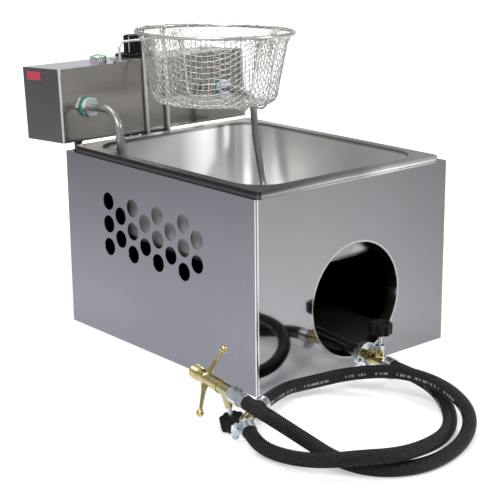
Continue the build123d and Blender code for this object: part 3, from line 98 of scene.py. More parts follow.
CONNECTOR_FRAME = frame_from(
    (-0.2104, -0.1558, 0.044),
    (math.cos(CONNECTOR_HEADING), -math.sin(CONNECTOR_HEADING), 0),
    (-math.sin(CONNECTOR_HEADING), -math.cos(CONNECTOR_HEADING), 0),
)
BRANCH_FRAME = CONNECTOR_FRAME @ frame_from(
    (0, 0, 0.060), (0, 0, 1), (math.sin(BRANCH_ANGLE), -math.cos(BRANCH_ANGLE), 0)
)


# ------------------------------------------------------------------ node trees
class Tree:
    """Fills one node tree in few words."""

    def __init__(self, tree: NodeTree) -> None:
        """Starts on a tree emptied of its nodes."""
        self.tree = tree
        self.tree.nodes.clear()

    def node(self, kind: str, **settings: object) -> Node:
        """Adds a node.

        Args:
            kind: the node's type name.
            settings: properties to set on it.

        Returns:
            The new node.
        """
        made = self.tree.nodes.new(kind)
        for name, value in settings.items():
            setattr(made, name, value)
        return made

    def join(self, source: NodeSocket, target: NodeSocket) -> None:
        """Links two sockets."""
        self.tree.links.new(source, target)

    def feed(self, value: object, target: NodeSocket) -> None:
        """Links a socket to target, or sets target's own value."""
        if isinstance(value, NodeSocket):
            self.join(value, target)
        elif target.type == "RGBA":
            target.default_value = (*value, 1.0)
        else:
            target.default_value = value

    def fill(self, node: Node, **inputs: object) -> None:
        """Feeds a node's inputs by their names, with _ for a space."""
        for name, value in inputs.items():
            self.feed(value, node.inputs[name.replace("_", " ")])

    def maths(self, operation: str, first: object, second: object = 0.0) -> NodeSocket:
        """Adds a Math node.

        Args:
            operation: the Math node's operation.
            first: its first value or socket.
            second: its second value or socket.

        Returns:
            The result's socket.
        """
        made = self.node("ShaderNodeMath", operation=operation)
        self.feed(first, made.inputs[0])
        self.feed(second, made.inputs[1])
        return made.outputs[0]

    def blend(self, share: object, first: object, second: object, kind: str = "MIX") -> NodeSocket:
        """Adds a colour mix.

        Args:
            share: how much of the second colour shows.
            first: the first colour or socket.
            second: the second colour or socket.
            kind: how they are mixed.

        Returns:
            The mixed colour's socket.
        """
        made = self.node("ShaderNodeMix", data_type="RGBA", blend_type=kind)
        for value, index in ((share, 0), (first, 6), (second, 7)):
            self.feed(value, made.inputs[index])
        return made.outputs[2]

    def spread(
        self, value: object, low: float, high: float, start: float = 0.0, end: float = 1.0
    ) -> NodeSocket:
        """Adds a Map Range node.

        Args:
            value: the value or socket to map.
            low: result at start.
            high: result at end.
            start: value that gives low.
            end: value that gives high.

        Returns:
            The mapped value's socket.
        """
        made = self.node("ShaderNodeMapRange", clamp=True)
        self.fill(made, Value=value, From_Min=start, From_Max=end, To_Min=low, To_Max=high)
        return made.outputs["Result"]

    def parts(self, vector: NodeSocket) -> NodeOutputs:
        """Splits a vector into its three numbers."""
        made = self.node("ShaderNodeSeparateXYZ")
        self.join(vector, made.inputs[0])
        return made.outputs

    def noise(self, vector: object, scale: object, detail: float) -> NodeSocket:
        """Adds a noise texture.

        Args:
            vector: where the noise is read.
            scale: how fine it is.
            detail: how many finer layers it has.

        Returns:
            The noise's socket.
        """
        made = self.node("ShaderNodeTexNoise")
        self.fill(made, Vector=vector, Scale=scale, Detail=detail)
        return made.outputs["Fac"]

    def pattern(self, name: str, **inputs: object) -> NodeSocket:
        """Places a shared pattern.

        Args:
            name: the pattern's name.
            inputs: values or sockets for its inputs.

        Returns:
            The pattern's socket.
        """
        made = self.node("ShaderNodeGroup", node_tree=PATTERNS.get(name))
        self.fill(made, **inputs)
        return made.outputs[0]


class Socket(Enum):
    """Kinds of socket on a shared group."""

    VALUE = "NodeSocketFloat"
    VECTOR = "NodeSocketVector"


def new_group(name: str, **inputs: Socket) -> tuple[NodeTree, Tree, NodeOutputs, NodeSocket]:
    """Starts a shared node group that gives one value.

    Args:
        name: the group's name.
        inputs: its input sockets by name.

    Returns:
        The group, a Tree on it, its input values and the socket for its result.
    """
    group = bpy.data.node_groups.new(name, "ShaderNodeTree")
    tree = Tree(group)
    for label, kind in inputs.items():
        group.interface.new_socket(label, in_out="INPUT", socket_type=kind.value)
    group.interface.new_socket("Value", in_out="OUTPUT", socket_type=Socket.VALUE.value)
    start = tree.node("NodeGroupInput")
    end = tree.node("NodeGroupOutput")
    return group, tree, start.outputs, end.inputs["Value"]


@dataclass
class Patterns:
    """Surface patterns that several finishes share, each built once as a node group.

    Attributes:
        mark_height: height of the printed marks on a hose.
        mark_step: length of one mark or gap along it.
        mark_gaps: share of the marks left out.
        group_gaps: noise level under which a whole group of marks is left out.
        made: the groups built so far, by name.
    """

    mark_height: float = 2.7 * MM
    mark_step: float = 1.3 * MM
    mark_gaps: float = 0.42
    group_gaps: float = 0.44
    made: dict[str, NodeTree] = field(default_factory=dict)

    def get(self, name: str) -> NodeTree:
        """The named group, built when first asked for."""
        if name not in self.made:
            self.made[name] = getattr(self, f"build_{name}")()
        return self.made[name]

    def build_brushing(self) -> NodeTree:
        """Long parallel scratches: noise drawn out along one axis by Stretch."""
        group, tree, given, out = new_group("brushing", Vector=Socket.VECTOR, Stretch=Socket.VECTOR)
        drawn = tree.node("ShaderNodeVectorMath", operation="MULTIPLY")
        tree.join(given["Vector"], drawn.inputs[0])
        tree.join(given["Stretch"], drawn.inputs[1])
        fine = tree.noise(drawn.outputs[0], 1.0, 3.0)
        broad = tree.noise(drawn.outputs[0], 0.21, 1.0)
        both = tree.maths("ADD", tree.maths("MULTIPLY", fine, 0.6), tree.maths("MULTIPLY", broad, 0.4))
        tree.join(tree.spread(both, 0.0, 1.0, 0.3, 0.7), out)
        return group

    def build_mottle(self) -> NodeTree:
        """Soft cloudy patches, as handling and heat leave on metal."""
        group, tree, given, out = new_group("mottle", Vector=Socket.VECTOR, Scale=Socket.VALUE)
        cloud = tree.noise(given["Vector"], given["Scale"], 3.0)
        tree.join(tree.spread(cloud, 0.0, 1.0, 0.35, 0.65), out)
        return group

    def build_grain(self) -> NodeTree:
        """Fine pits of a moulded or cast surface."""
        group, tree, given, out = new_group("grain", Vector=Socket.VECTOR, Scale=Socket.VALUE)
        cells = tree.node("ShaderNodeTexVoronoi")
        tree.fill(cells, Vector=given["Vector"], Scale=given["Scale"])
        tree.join(cells.outputs["Distance"], out)
        return group

    def build_braid(self) -> NodeTree:
        """Crossed threads round a hose, from a UV in metres (round, along)."""
        group, tree, given, out = new_group("braid", UV=Socket.VECTOR, Pitch=Socket.VALUE)
        across, along, _ = tree.parts(given["UV"])
        turn = tree.maths("DIVIDE", 2 * math.pi, given["Pitch"])
        one = tree.maths("SINE", tree.maths("MULTIPLY", tree.maths("ADD", across, along), turn))
        two = tree.maths("SINE", tree.maths("MULTIPLY", tree.maths("SUBTRACT", across, along), turn))
        tree.join(tree.spread(tree.maths("MULTIPLY", one, two), 0.0, 1.0, -0.6, 0.9), out)
        return group

    def build_print_ticks(self) -> NodeTree:
        """Broken row of plain marks along a hose, from a UV in metres (round, along)."""
        group, tree, given, out = new_group("print_ticks", UV=Socket.VECTOR, Middle=Socket.VALUE)
        across, along, _ = tree.parts(given["UV"])
        offset = tree.maths("ABSOLUTE", tree.maths("SUBTRACT", across, given["Middle"]))
        row = tree.maths("LESS_THAN", offset, self.mark_height / 2)
        step = tree.maths("FLOOR", tree.maths("MULTIPLY", along, 1 / self.mark_step))
        chance = tree.node("ShaderNodeTexWhiteNoise", noise_dimensions="1D")
        tree.join(step, chance.inputs["W"])
        tick = tree.maths("GREATER_THAN", chance.outputs["Value"], self.mark_gaps)
        words = tree.node("ShaderNodeTexNoise", noise_dimensions="1D")
        tree.fill(words, W=along, Scale=45.0, Detail=1.0)
        group_on = tree.maths("GREATER_THAN", words.outputs["Fac"], self.group_gaps)
        mask = tree.maths("MULTIPLY", tree.maths("MULTIPLY", row, tick), group_on)
        tree.join(mask, out)
        return group


PATTERNS = Patterns()


class Brush(Enum):
    """Direction of a metal's brushing, as how far its noise is packed along each axis."""

    UPRIGHT = (900.0, 900.0, 5.0)
    SIDEWAYS = (6.0, 900.0, 900.0)
    NONE = (260.0, 260.0, 260.0)


class Surface(Tree):
    """Node tree of a new material, with its shader and its Object coordinates."""

    def __init__(self, name: str) -> None:
        """Starts the named material."""
        self.material = bpy.data.materials.new(name)
        self.material.use_nodes = True
        super().__init__(self.material.node_tree)
        self.shader = self.node("ShaderNodeBsdfPrincipled")
        surface = self.node("ShaderNodeOutputMaterial")
        self.join(self.shader.outputs[0], surface.inputs["Surface"])
        self.where = self.node("ShaderNodeTexCoord").outputs["Object"]

    def set(self, **inputs: object) -> None:
        """Feeds the shader's inputs by their names, with _ for a space."""
        self.fill(self.shader, **inputs)

    def bump(self, height: NodeSocket, depth: float, strength: float) -> None:
        """Raises the surface by height.

        Args:
            height: the pattern's value from 0 to 1.
            depth: how deep the pattern is, in metres.
            strength: how strongly it shows.
        """
        made = self.node("ShaderNodeBump")
        self.fill(made, Distance=depth, Strength=strength, Height=height)
        self.set(Normal=made.outputs[0])


@dataclass(frozen=True)
class Shade:
    """Painted shade: multiplies a finish's colour by tint, more and more from start to end along one axis.

    Attributes:
        axis: 0, 1 or 2 for X, Y or Z.
        start: place on the axis where the shade begins.
        end: place where it is full.
        tint: what the colour is multiplied by.
        mirrored: whether the axis is folded at 0, so that both sides are shaded.
        within: a second shade that this one is held inside.
    """

    axis: int
    start: float
    end: float
    tint: Colour
    mirrored: bool = False
    within: Optional["Shade"] = None

    def share(self, tree: Surface) -> NodeSocket:
        """How much of the shade falls on a place, from 0 to 1.

        Args:
            tree: the material's tree.

        Returns:
            The share's socket.
        """
        place = tree.parts(tree.where)[self.axis]
        if self.mirrored:
            place = tree.maths("ABSOLUTE", place)
        share = tree.spread(place, 0.0, 1.0, self.start, self.end)
        if self.within:
            share = tree.maths("MULTIPLY", share, self.within.share(tree))
        return share

    def apply(self, tree: Surface, colour: NodeSocket) -> NodeSocket:
        """Adds the shade to a colour."""
        return tree.blend(self.share(tree), colour, self.tint, "MULTIPLY")


@dataclass(frozen=True)
class Folds:
    """Painted highlights down the two upright front folds of a box of sheet.

    Attributes:
        place: the box's frame, whose XZ plane is its front face.
        side: distance from the box's middle at which a fold begins.
        back: how far behind the front face it ends.
        tint: colour of the painted highlight.
        core: how much of the tint is left on the fold's middle line.
        core_start: where across the fold that middle line begins, from 0 to 1.
    """

    place: Matrix
    side: float
    back: float
    tint: Colour
    core: float = 1.0
    core_start: float = 0.45

    def mask(self, tree: Surface) -> NodeSocket:
        """1 on the folds, less on their middle line, and 0 elsewhere.

        Args:
            tree: the material's tree.

        Returns:
            The mask's socket.
        """
        place = tree.node("ShaderNodeMapping", vector_type="TEXTURE")
        tree.fill(place, Vector=tree.where, Location=self.place.translation, Rotation=self.place.to_euler())
        x, y, _ = tree.parts(place.outputs[0])
        x = tree.maths("ABSOLUTE", x)
        at_side = tree.maths("GREATER_THAN", x, self.side)
        at_front = tree.maths("LESS_THAN", y, self.back)
        line = tree.maths("MULTIPLY", at_side, at_front)
        far_out = tree.maths("GREATER_THAN", x, self.side + self.back * self.core_start)
        far_on = tree.maths("LESS_THAN", y, self.back * (1 - self.core_start))
        middle = tree.maths("MULTIPLY", far_out, far_on)
        return tree.maths("MULTIPLY", line, tree.spread(middle, 1.0, self.core))


@dataclass(frozen=True)
class Rim:
    """Painted highlight round a round opening in an upright face.

    Attributes:
        centre: the opening's centre.
        radius: its radius.
        width: how far the line reaches to either side of the edge.
        tint: colour of the painted highlight.
        depth: how far it reaches before and behind the face.
    """

    centre: Point
    radius: float
    width: float
    tint: Colour
    depth: float = 2.5 * MM

    def mask(self, tree: Surface) -> NodeSocket:
        """1 on the rim and 0 elsewhere.

        Args:
            tree: the material's tree.

        Returns:
            The mask's socket.
        """
        moved = tree.node("ShaderNodeVectorMath", operation="SUBTRACT")
        tree.join(tree.where, moved.inputs[0])
        moved.inputs[1].default_value = self.centre
        x, y, z = tree.parts(moved.outputs[0])
        squares = tree.maths("ADD", tree.maths("MULTIPLY", x, x), tree.maths("MULTIPLY", z, z))
        reach = tree.maths("SQRT", squares)
        off = tree.maths("ABSOLUTE", tree.maths("SUBTRACT", reach, self.radius))
        near = tree.maths("LESS_THAN", tree.maths("ABSOLUTE", y), self.depth)
        return tree.maths("MULTIPLY", tree.maths("LESS_THAN", off, self.width), near)


@dataclass(frozen=True)
class Metal:
    """Bare or plated metal with brushing and soft patches, and any painted shade, painted highlights and
    painted reflection tint given to it.

    Attributes:
        name: the material's name.
        light: colour of its lighter places.
        dark: colour of its darker places.
        roughness: of the lighter and the darker places.
        brush: which way it is brushed.
        patch_scale: how fine the soft patches are.
        brush_share: how much of the mix is brushing and not patches.
        depth: depth of the brushing.
        strength: how strongly the brushing shows.
        inside_shade: low corner, high corner and colour of an enclosed space whose walls get a painted shade.
        shades: painted shade, darkening the colour by place.
        pale: painted highlights along folds and openings.
        top_reflection_tint: painted reflection tint on what faces up.
        drawn: strength of the upright streaks in reflections off drawn metal.
        top_reflection_span: share of the painted reflection tint against how far up a place faces.
        glint_blur: roughness added on the painted highlights.
        inside_shade_blur: roughness added in the painted shade of the enclosed space.
    """

    name: str
    light: Colour
    dark: Colour
    roughness: Pair
    brush: Brush = Brush.NONE
    patch_scale: float = 14.0
    brush_share: float = 0.35
    depth: float = 0.02 * MM
    strength: float = 0.25
    inside_shade: Optional[tuple[Point, Point, Colour]] = None
    shades: tuple[Shade, ...] = ()
    pale: tuple[Folds | Rim, ...] = ()
    top_reflection_tint: Optional[Colour] = None
    drawn: float = 0.0
    top_reflection_span: Span = (0.0, 1.0, 0.6, 0.8)
    glint_blur: float = 0.20
    inside_shade_blur: float = 0.12

    def build(self) -> Material:
        """Makes the material."""
        tree = Surface(self.name)
        lines = tree.pattern("brushing", Vector=tree.where, Stretch=self.brush.value)
        patches = tree.pattern("mottle", Vector=tree.where, Scale=self.patch_scale)
        share = tree.maths(
            "ADD",
            tree.maths("MULTIPLY", lines, self.brush_share),
            tree.maths("MULTIPLY", patches, 1 - self.brush_share),
        )
        colour = tree.blend(share, self.dark, self.light)
        rough = tree.spread(share, self.roughness[1], self.roughness[0])
        # painted shade by place
        for shade in self.shades:
            colour = shade.apply(tree, colour)
        # painted reflection tint on the faces that look up
        if self.top_reflection_tint:
            facing = tree.parts(tree.node("ShaderNodeNewGeometry").outputs["Normal"])["Z"]
            colour = tree.blend(tree.spread(facing, *self.top_reflection_span), colour, self.top_reflection_tint)
        # painted highlights along folds and openings
        for feature in self.pale:
            mask = feature.mask(tree)
            colour = tree.blend(mask, colour, feature.tint)
            rough = tree.maths("ADD", rough, tree.maths("MULTIPLY", mask, self.glint_blur))
        # painted shade inside the enclosed space
        if self.inside_shade:
            inside = self.inside_mask(tree)
            colour = tree.blend(inside, colour, self.inside_shade[2])
            rough = tree.maths("ADD", rough, tree.maths("MULTIPLY", inside, self.inside_shade_blur))
        tree.set(Base_Color=colour, Roughness=rough, Metallic=1.0)
        if self.drawn:
            around = tree.node("ShaderNodeTangent", direction_type="RADIAL", axis="Z").outputs[0]
            tree.set(Tangent=around, Anisotropic=self.drawn, Anisotropic_Rotation=0.25)
        tree.bump(lines, self.depth, self.strength)
        return tree.material

    def inside_mask(self, tree: Surface) -> NodeSocket:
        """1 within the box that the sheet encloses, and 0 outside.

        Args:
            tree: the material's tree.

        Returns:
            The mask's socket.
        """
        low, high, _ = self.inside_shade
        mask: object = 1.0
        for value, start, end in zip(tree.parts(tree.where), low, high):
            above = tree.maths("GREATER_THAN", value, start)
            below = tree.maths("LESS_THAN", value, end)
            mask = tree.maths("MULTIPLY", tree.maths("MULTIPLY", above, below), mask)
        return mask


@dataclass(frozen=True)
class Plating:
    """Passivated plating whose film drifts between several tints."""

    name: str
    tints: tuple[tuple[float, Colour], ...]
    roughness: Pair
    scale: float = 70.0
    grain_scale: float = 1800.0
    depth: float = 0.03 * MM
    strength: float = 0.3

    def build(self) -> Material:
        """Makes the material."""
        tree = Surface(self.name)
        cloud = tree.noise(tree.where, self.scale, 3.0)
        ramp = tree.node("ShaderNodeValToRGB")
        stops = ramp.color_ramp.elements
        while len(stops) < len(self.tints):
            stops.new(0.5)
        for stop, (position, tint) in zip(stops, self.tints):
            stop.position = position
            stop.color = (*tint, 1.0)
        tree.join(cloud, ramp.inputs[0])
        patches = tree.pattern("mottle", Vector=tree.where, Scale=self.scale * 3)
        rough = tree.spread(patches, *self.roughness)
        tree.set(Base_Color=ramp.outputs[0], Roughness=rough, Metallic=1.0)
        grain = tree.pattern("grain", Vector=tree.where, Scale=self.grain_scale)
        tree.bump(grain, self.depth, self.strength)
        return tree.material


@dataclass(frozen=True)
class Moulded:
    """Plastic, rubber or enamel with a fine grain."""

    name: str
    colour: Colour
    worn: Colour
    roughness: Pair
    coat: float = 0.0
    grain_scale: float = 1500.0
    depth: float = 0.05 * MM
    glow: float = 0.0
    mark: Optional[Colour] = None
    specular: float = 0.5
    patch_scale: float = 60.0
    coat_roughness: float = 0.12
    strength: float = 0.35

    def build(self) -> Material:
        """Makes the material."""
        tree = Surface(self.name)
        patches = tree.pattern("mottle", Vector=tree.where, Scale=self.patch_scale)
        grain = tree.pattern("grain", Vector=tree.where, Scale=self.grain_scale)
        colour = tree.blend(patches, self.colour, self.worn)
        if self.mark:
            marked = tree.node("ShaderNodeAttribute", attribute_name="marked")
            colour = tree.blend(marked.outputs["Fac"], colour, self.mark)
        tree.set(Base_Color=colour, Roughness=tree.spread(patches, *self.roughness))
        tree.set(Specular_IOR_Level=self.specular)
        tree.set(Coat_Weight=self.coat, Coat_Roughness=self.coat_roughness)
        if self.glow:
            tree.set(Emission_Color=self.colour, Emission_Strength=self.glow)
        tree.bump(grain, self.depth, self.strength)
        return tree.material


@dataclass(frozen=True)
class BraidedRubber:
    """Cloth-braided black rubber with painted highlights on the braid's crests and a broken row of plain
    white marks.
    """

    name: str = "braided_rubber"
    colour: Colour = (0.0035, 0.0035, 0.0045)
    # colour of the painted highlight on the braid's crests
    braid_highlight: Colour = (0.110, 0.110, 0.122)
    mark: Colour = (0.62, 0.63, 0.66)
    mark_turn: float = 0.25
    threads_round: int = 13
    radius: float = 7.0 * MM
    grain_scale: float = 2600.0
    wear: Span = (1.0, 0.35, 0.2, 0.6)
    # fine noise that breaks up the painted highlight
    highlight_breakup: Span = (1.0, 0.2, 0.2, 0.6)
    roughness: Pair = (0.30, 0.52)
    sheen: Pair = (0.04, 0.60)
    depth: float = 0.8 * MM

    def build(self) -> Material:
        """Makes the material."""
        tree = Surface(self.name)
        chart = tree.node("ShaderNodeUVMap", uv_map="along_hose").outputs[0]
        fine = tree.pattern("grain", Vector=tree.where, Scale=self.grain_scale)
        girth = 2 * math.pi * self.radius
        marks = tree.pattern("print_ticks", UV=chart, Middle=self.mark_turn * girth)
        worn = tree.maths("MULTIPLY", marks, tree.spread(fine, *self.wear))
        braid = tree.pattern("braid", UV=chart, Pitch=girth / self.threads_round)
        # painted highlight: lighter colour on the braid's crests, broken up by fine noise
        lit = tree.maths("MULTIPLY", braid, tree.spread(fine, *self.highlight_breakup))
        cloth = tree.blend(lit, self.colour, self.braid_highlight)
        tree.set(
            Base_Color=tree.blend(worn, cloth, self.mark),
            Roughness=tree.spread(fine, *self.roughness),
            Specular_IOR_Level=tree.spread(lit, *self.sheen),
        )
        tree.bump(braid, self.depth, 1.0)
        return tree.material


FRONT = -169.0 * MM
# painted shade inside the housing: low corner, high corner and its dark colour
HOUSING_INSIDE_SHADE = ((-0.1394, -0.1672, -0.01), (0.1394, 0.1684, 0.2064), (0.035, 0.035, 0.038))
FINISHES = {
    "housing": Metal(
        "housing_steel", (0.345, 0.348, 0.368), (0.315, 0.315, 0.328), (0.045, 0.085), Brush.UPRIGHT, 5.0,
        strength=0.10, inside_shade=HOUSING_INSIDE_SHADE,
        # painted shade: darker towards the top, on the side panels and towards the right
        shades=(
            Shade(2, 0.02, 0.20, (0.76, 0.74, 0.74)),
            Shade(0, 0.1386, 0.1390, (0.80, 0.80, 0.88), mirrored=True),
            Shade(0, -0.06, 0.13, (0.70, 0.70, 0.71)),
        ),
        # painted highlights on the two front folds, left off their middle line, and round the opening
        pale=(
            Folds(Matrix.Translation((0, FRONT, 0)), 137.3 * MM, 2.7 * MM, (0.80, 0.80, 0.82), core=0.0),
            Rim((0, FRONT, 75.5 * MM), 64.0 * MM, 0.8 * MM, (0.46, 0.46, 0.48)),
        ),
    ),
    "pan_steel": Metal(
        "pan_steel", (0.95, 0.95, 0.94), (0.86, 0.86, 0.85), (0.34, 0.42), Brush.NONE, 9.0, strength=0.04,
        # painted shade: darker on the flange, darker towards the left, and darker still on the left of the
        # flange
        shades=(
            Shade(2, 0.2085, 0.2105, (0.36, 0.355, 0.355)),
            Shade(0, 0.050, 0.010, (0.40, 0.40, 0.398)),
            Shade(0, -0.02, -0.105, (0.34, 0.33, 0.325), within=Shade(2, 0.2075, 0.2085, (1, 1, 1))),
        ),
        drawn=0.85,
    ),
    "head_steel": Metal(
        "head_steel", (0.45, 0.43, 0.40), (0.38, 0.362, 0.340), (0.13, 0.20), Brush.SIDEWAYS, 8.0, 0.25,
        strength=0.06,
        # painted shade: darker on the two end faces and towards the right
        shades=(
            Shade(0, 0.1372, 0.1376, (0.34, 0.34, 0.38), mirrored=True),
            Shade(0, -0.02, 0.08, (0.64, 0.63, 0.62)),
        ),
        # painted highlights on the front folds, and a painted reflection tint on the faces that look up
        pale=(Folds(HEAD_FRAME, 136.3 * MM, 1.6 * MM, (0.90, 0.90, 0.90)),), top_reflection_tint=(0.33, 0.34, 0.39),
    ),
    "element_steel": Metal(
        "element_steel", (0.40, 0.39, 0.38), (0.26, 0.25, 0.25), (0.24, 0.36), patch_scale=60.0
    ),
    "wire_steel": Metal(
        "wire_steel", (0.62, 0.62, 0.60), (0.42, 0.41, 0.375), (0.16, 0.30), patch_scale=90.0,
        # painted shade: darker low down, where the basket's floor lies
        shades=(Shade(2, 0.268, 0.258, (0.42, 0.42, 0.42)),),
    ),
    "rod_steel": Metal("rod_steel", (0.86, 0.86, 0.83), (0.66, 0.65, 0.59), (0.30, 0.45), patch_scale=90.0),
    "zinc": Plating(
        "zinc_plate",
        ((0.3, (0.42, 0.47, 0.53)), (0.5, (0.62, 0.66, 0.70)), (0.7, (0.50, 0.53, 0.55))),
        (0.22, 0.42),
    ),
    "pilot_chrome": Metal("pilot_chrome", (0.72, 0.73, 0.75), (0.60, 0.61, 0.63), (0.05, 0.10)),
    "brass": Plating(
        "yellow_passivate",
        (
            (0.28, (0.22, 0.21, 0.12)), (0.45, (0.55, 0.46, 0.20)),
            (0.58, (0.42, 0.38, 0.22)), (0.74, (0.40, 0.26, 0.22)),
        ),
        (0.14, 0.26),
    ),
    "black_steel": Moulded("black_enamel", (0.012, 0.012, 0.013), (0.022, 0.022, 0.024), (0.30, 0.45), 0.3),
    "cast_iron": Moulded(
        "cast_iron", (0.030, 0.029, 0.028), (0.055, 0.050, 0.047), (0.55, 0.80), 0.0, 500.0, 0.3 * MM
    ),
    "knob_black": Moulded(
        "knob_black", (0.004, 0.004, 0.005), (0.008, 0.008, 0.010), (0.28, 0.40), 0.02, specular=0.10
    ),
    "gland_black": Moulded("gland_black", (0.014, 0.014, 0.015), (0.022, 0.022, 0.023), (0.45, 0.60)),
    "switch_plastic": Moulded("switch_plastic", (0.55, 0.52, 0.45), (0.48, 0.45, 0.38), (0.40, 0.55)),
    "gasket_green": Moulded("gasket_green", (0.045, 0.36, 0.24), (0.030, 0.27, 0.18), (0.45, 0.60)),
    "lens_green": Moulded("lens_green", (0.10, 0.62, 0.12), (0.07, 0.50, 0.09), (0.10, 0.16), 0.6, glow=0.25),
    "label_red": Moulded("label_red", (0.62, 0.012, 0.060), (0.55, 0.010, 0.050), (0.28, 0.36), 0.4),
}
DIAL_FINISH = replace(FINISHES["knob_black"], name="dial_knob", mark=(0.70, 0.70, 0.68))
NODE_FINISHES = {
    "housing": ("housing_wrap", "rear_panel", "rear_rivets", "opening_collar", "burner_crossbar"),
    "pan_steel": ("pan",),
    "head_steel": ("head_tray", "head_cover"),
    "element_steel": (
        "heating_element", "element_braces", "thermostat_bulb", "capillary_clips", "mixing_tube",
    ),
    "wire_steel": ("basket_rim", "rail_feet", "dial_plate"),
    "rod_steel": ("basket_frame", "basket_hangers", "guard_rail"),
    "zinc": (
        "cover_screws", "bracket_screws", "element_nuts", "valve_gland", "valve_stem", "side_stem",
        "hose_nut", "hose_tail", "hose_clamps", "clamp_screws", "burner_screw", "air_shutter",
        "pilot_nut", "thermostat_spindle",
    ),
    "pilot_chrome": ("pilot_bezel",),
    "brass": ("burner_jet", "valve_body", "wing_screw", "connector_body", "body_ring", "hose_joiner"),
    "black_steel": ("head_bracket",),
    "cast_iron": ("burner_head", "burner_cap"),
    "knob_black": ("thermostat_knob", "valve_knob", "side_knob"),
    "gland_black": ("cable_gland",),
    "switch_plastic": ("thermostat", "terminal_block"),
    "gasket_green": ("element_gaskets",),
    "lens_green": ("pilot_lens",),
    "label_red": ("rating_label",),
}


# ------------------------------------------------------------------ mesh helpers
def stand(name: str, data: bpy.types.ID) -> Object:
    """Puts a new object with this data into the scene."""
    made = bpy.data.objects.new(name, data)
    bpy.context.scene.collection.objects.link(made)
    return made


def smooth(mesh: Mesh, crease: Optional[float] = None) -> Mesh:
    """Shades a mesh smooth, but for edges sharper than crease in degrees."""
    for polygon in mesh.polygons:
        polygon.use_smooth = True
    if crease:
        mesh.set_sharp_from_angle(angle=math.radians(crease))
    return mesh


def to_mesh(name: str, shape: BMesh) -> Mesh:
    """Turns a bmesh, which is freed, into a mesh."""
    mesh = bpy.data.meshes.new(name)
    shape.to_mesh(mesh)
    shape.free()
    return mesh


def add_spline(curve: Curve, kind: str, points: Iterable[Sequence[float]]) -> Spline:
    """Adds a spline to a curve.

    Args:
        curve: the curve.
        kind: the spline's type.
        points: its points in metres.

    Returns:
        The spline.
    """
    places = list(points)
    spline = curve.splines.new(kind)
    spline.points.add(len(places) - 1)
    for point, place in zip(spline.points, places):
        point.co = (*place, 1.0)
    return spline


def curve_mesh(curve: Curve) -> Mesh:
    """Turns a curve, which is removed, into a mesh."""
    carrier = bpy.data.objects.new(curve.name, curve)
    mesh = bpy.data.meshes.new_from_object(carrier)
    bpy.data.objects.remove(carrier)
    bpy.data.curves.remove(curve)
    return mesh


def to_object(name: str, shape: BMesh, place: Matrix, crease: float) -> Object:
    """Turns a bmesh into an object whose place is in its mesh.

    Args:
        name: the piece's name.
        shape: the bmesh, which is freed.
        place: where it goes in the row frame.
        crease: sharpest angle in degrees that still shades smooth.

    Returns:
        The new object, at the origin.
    """
    bmesh.ops.remove_doubles(shape, verts=shape.verts, dist=1e-6)
    bmesh.ops.transform(shape, matrix=place, verts=shape.verts)
    bmesh.ops.recalc_face_normals(shape, faces=shape.faces)
    return stand(name, smooth(to_mesh(name, shape), crease))


def edges_of(verts: Iterable[BMVert]) -> list[BMEdge]:
    """Edges that touch the vertices, each once and in the same order every run."""
    return list(dict.fromkeys(edge for vert in verts for edge in vert.link_edges))


def lathe(
    shape: BMesh, profile: Sequence[Pair], steps: int, place: Matrix = Matrix.Identity(4)
) -> None:
    """Spins a profile about Z into the shape.

    Args:
        shape: the bmesh to add to.
        profile: (radius, height) pairs in millimetres.
        steps: how many faces go round.
        place: where the turned part goes.
    """
    before = set(shape.verts)
    chain = [shape.verts.new((radius * MM, 0, height * MM)) for radius, height in profile]
    edges = [shape.edges.new(pair) for pair in zip(chain, chain[1:])]
    bmesh.ops.spin(
        shape,
        geom=[*chain, *edges],
        cent=(0, 0, 0),
        axis=(0, 0, 1),
        angle=2 * math.pi,
        steps=steps,
        use_merge=True,
    )
    fresh = [vert for vert in shape.verts if vert not in before]
    bmesh.ops.remove_doubles(shape, verts=fresh, dist=1e-7)
    fresh = [vert for vert in shape.verts if vert not in before]
    bmesh.ops.transform(shape, matrix=place, verts=fresh)


def slab(shape: BMesh, size: Sequence[float], place: Matrix, bevel: float = 0.0) -> list[BMVert]:
    """Adds a block with softened edges, centred on its place.

    Args:
        shape: the bmesh to add to.
        size: its sides in millimetres.
        place: where the block goes.
        bevel: width of its softened edges in millimetres.

    Returns:
        The new vertices.
    """
    before = set(shape.verts)
    made = bmesh.ops.create_cube(shape, size=1.0)["verts"]
    bmesh.ops.scale(shape, vec=[side * MM for side in size], verts=made)
    if bevel:
        bmesh.ops.bevel(
            shape,
            geom=edges_of(made),
            offset=bevel * MM,
            affect="EDGES",
            segments=2,
            profile=0.5,
            material=-1,
        )
    fresh = [vert for vert in shape.verts if vert not in before]
    bmesh.ops.transform(shape, matrix=place, verts=fresh)
    return fresh


def bar(shape: BMesh, radius: float, length: float, sides: int, place: Matrix) -> None:
    """Adds a capped bar along Z from its place.

    Args:
        shape: the bmesh to add to.
        radius: its radius in millimetres, to the corners.
        length: its length in millimetres.
        sides: how many sides it has.
        place: where its first end goes.
    """
    made = bmesh.ops.create_cone(
        shape, cap_ends=True, segments=sides, radius1=radius * MM, radius2=radius * MM, depth=length * MM
    )["verts"]
    middle = Matrix.Translation((0, 0, length * MM / 2))
    bmesh.ops.transform(shape, matrix=place @ middle, verts=made)


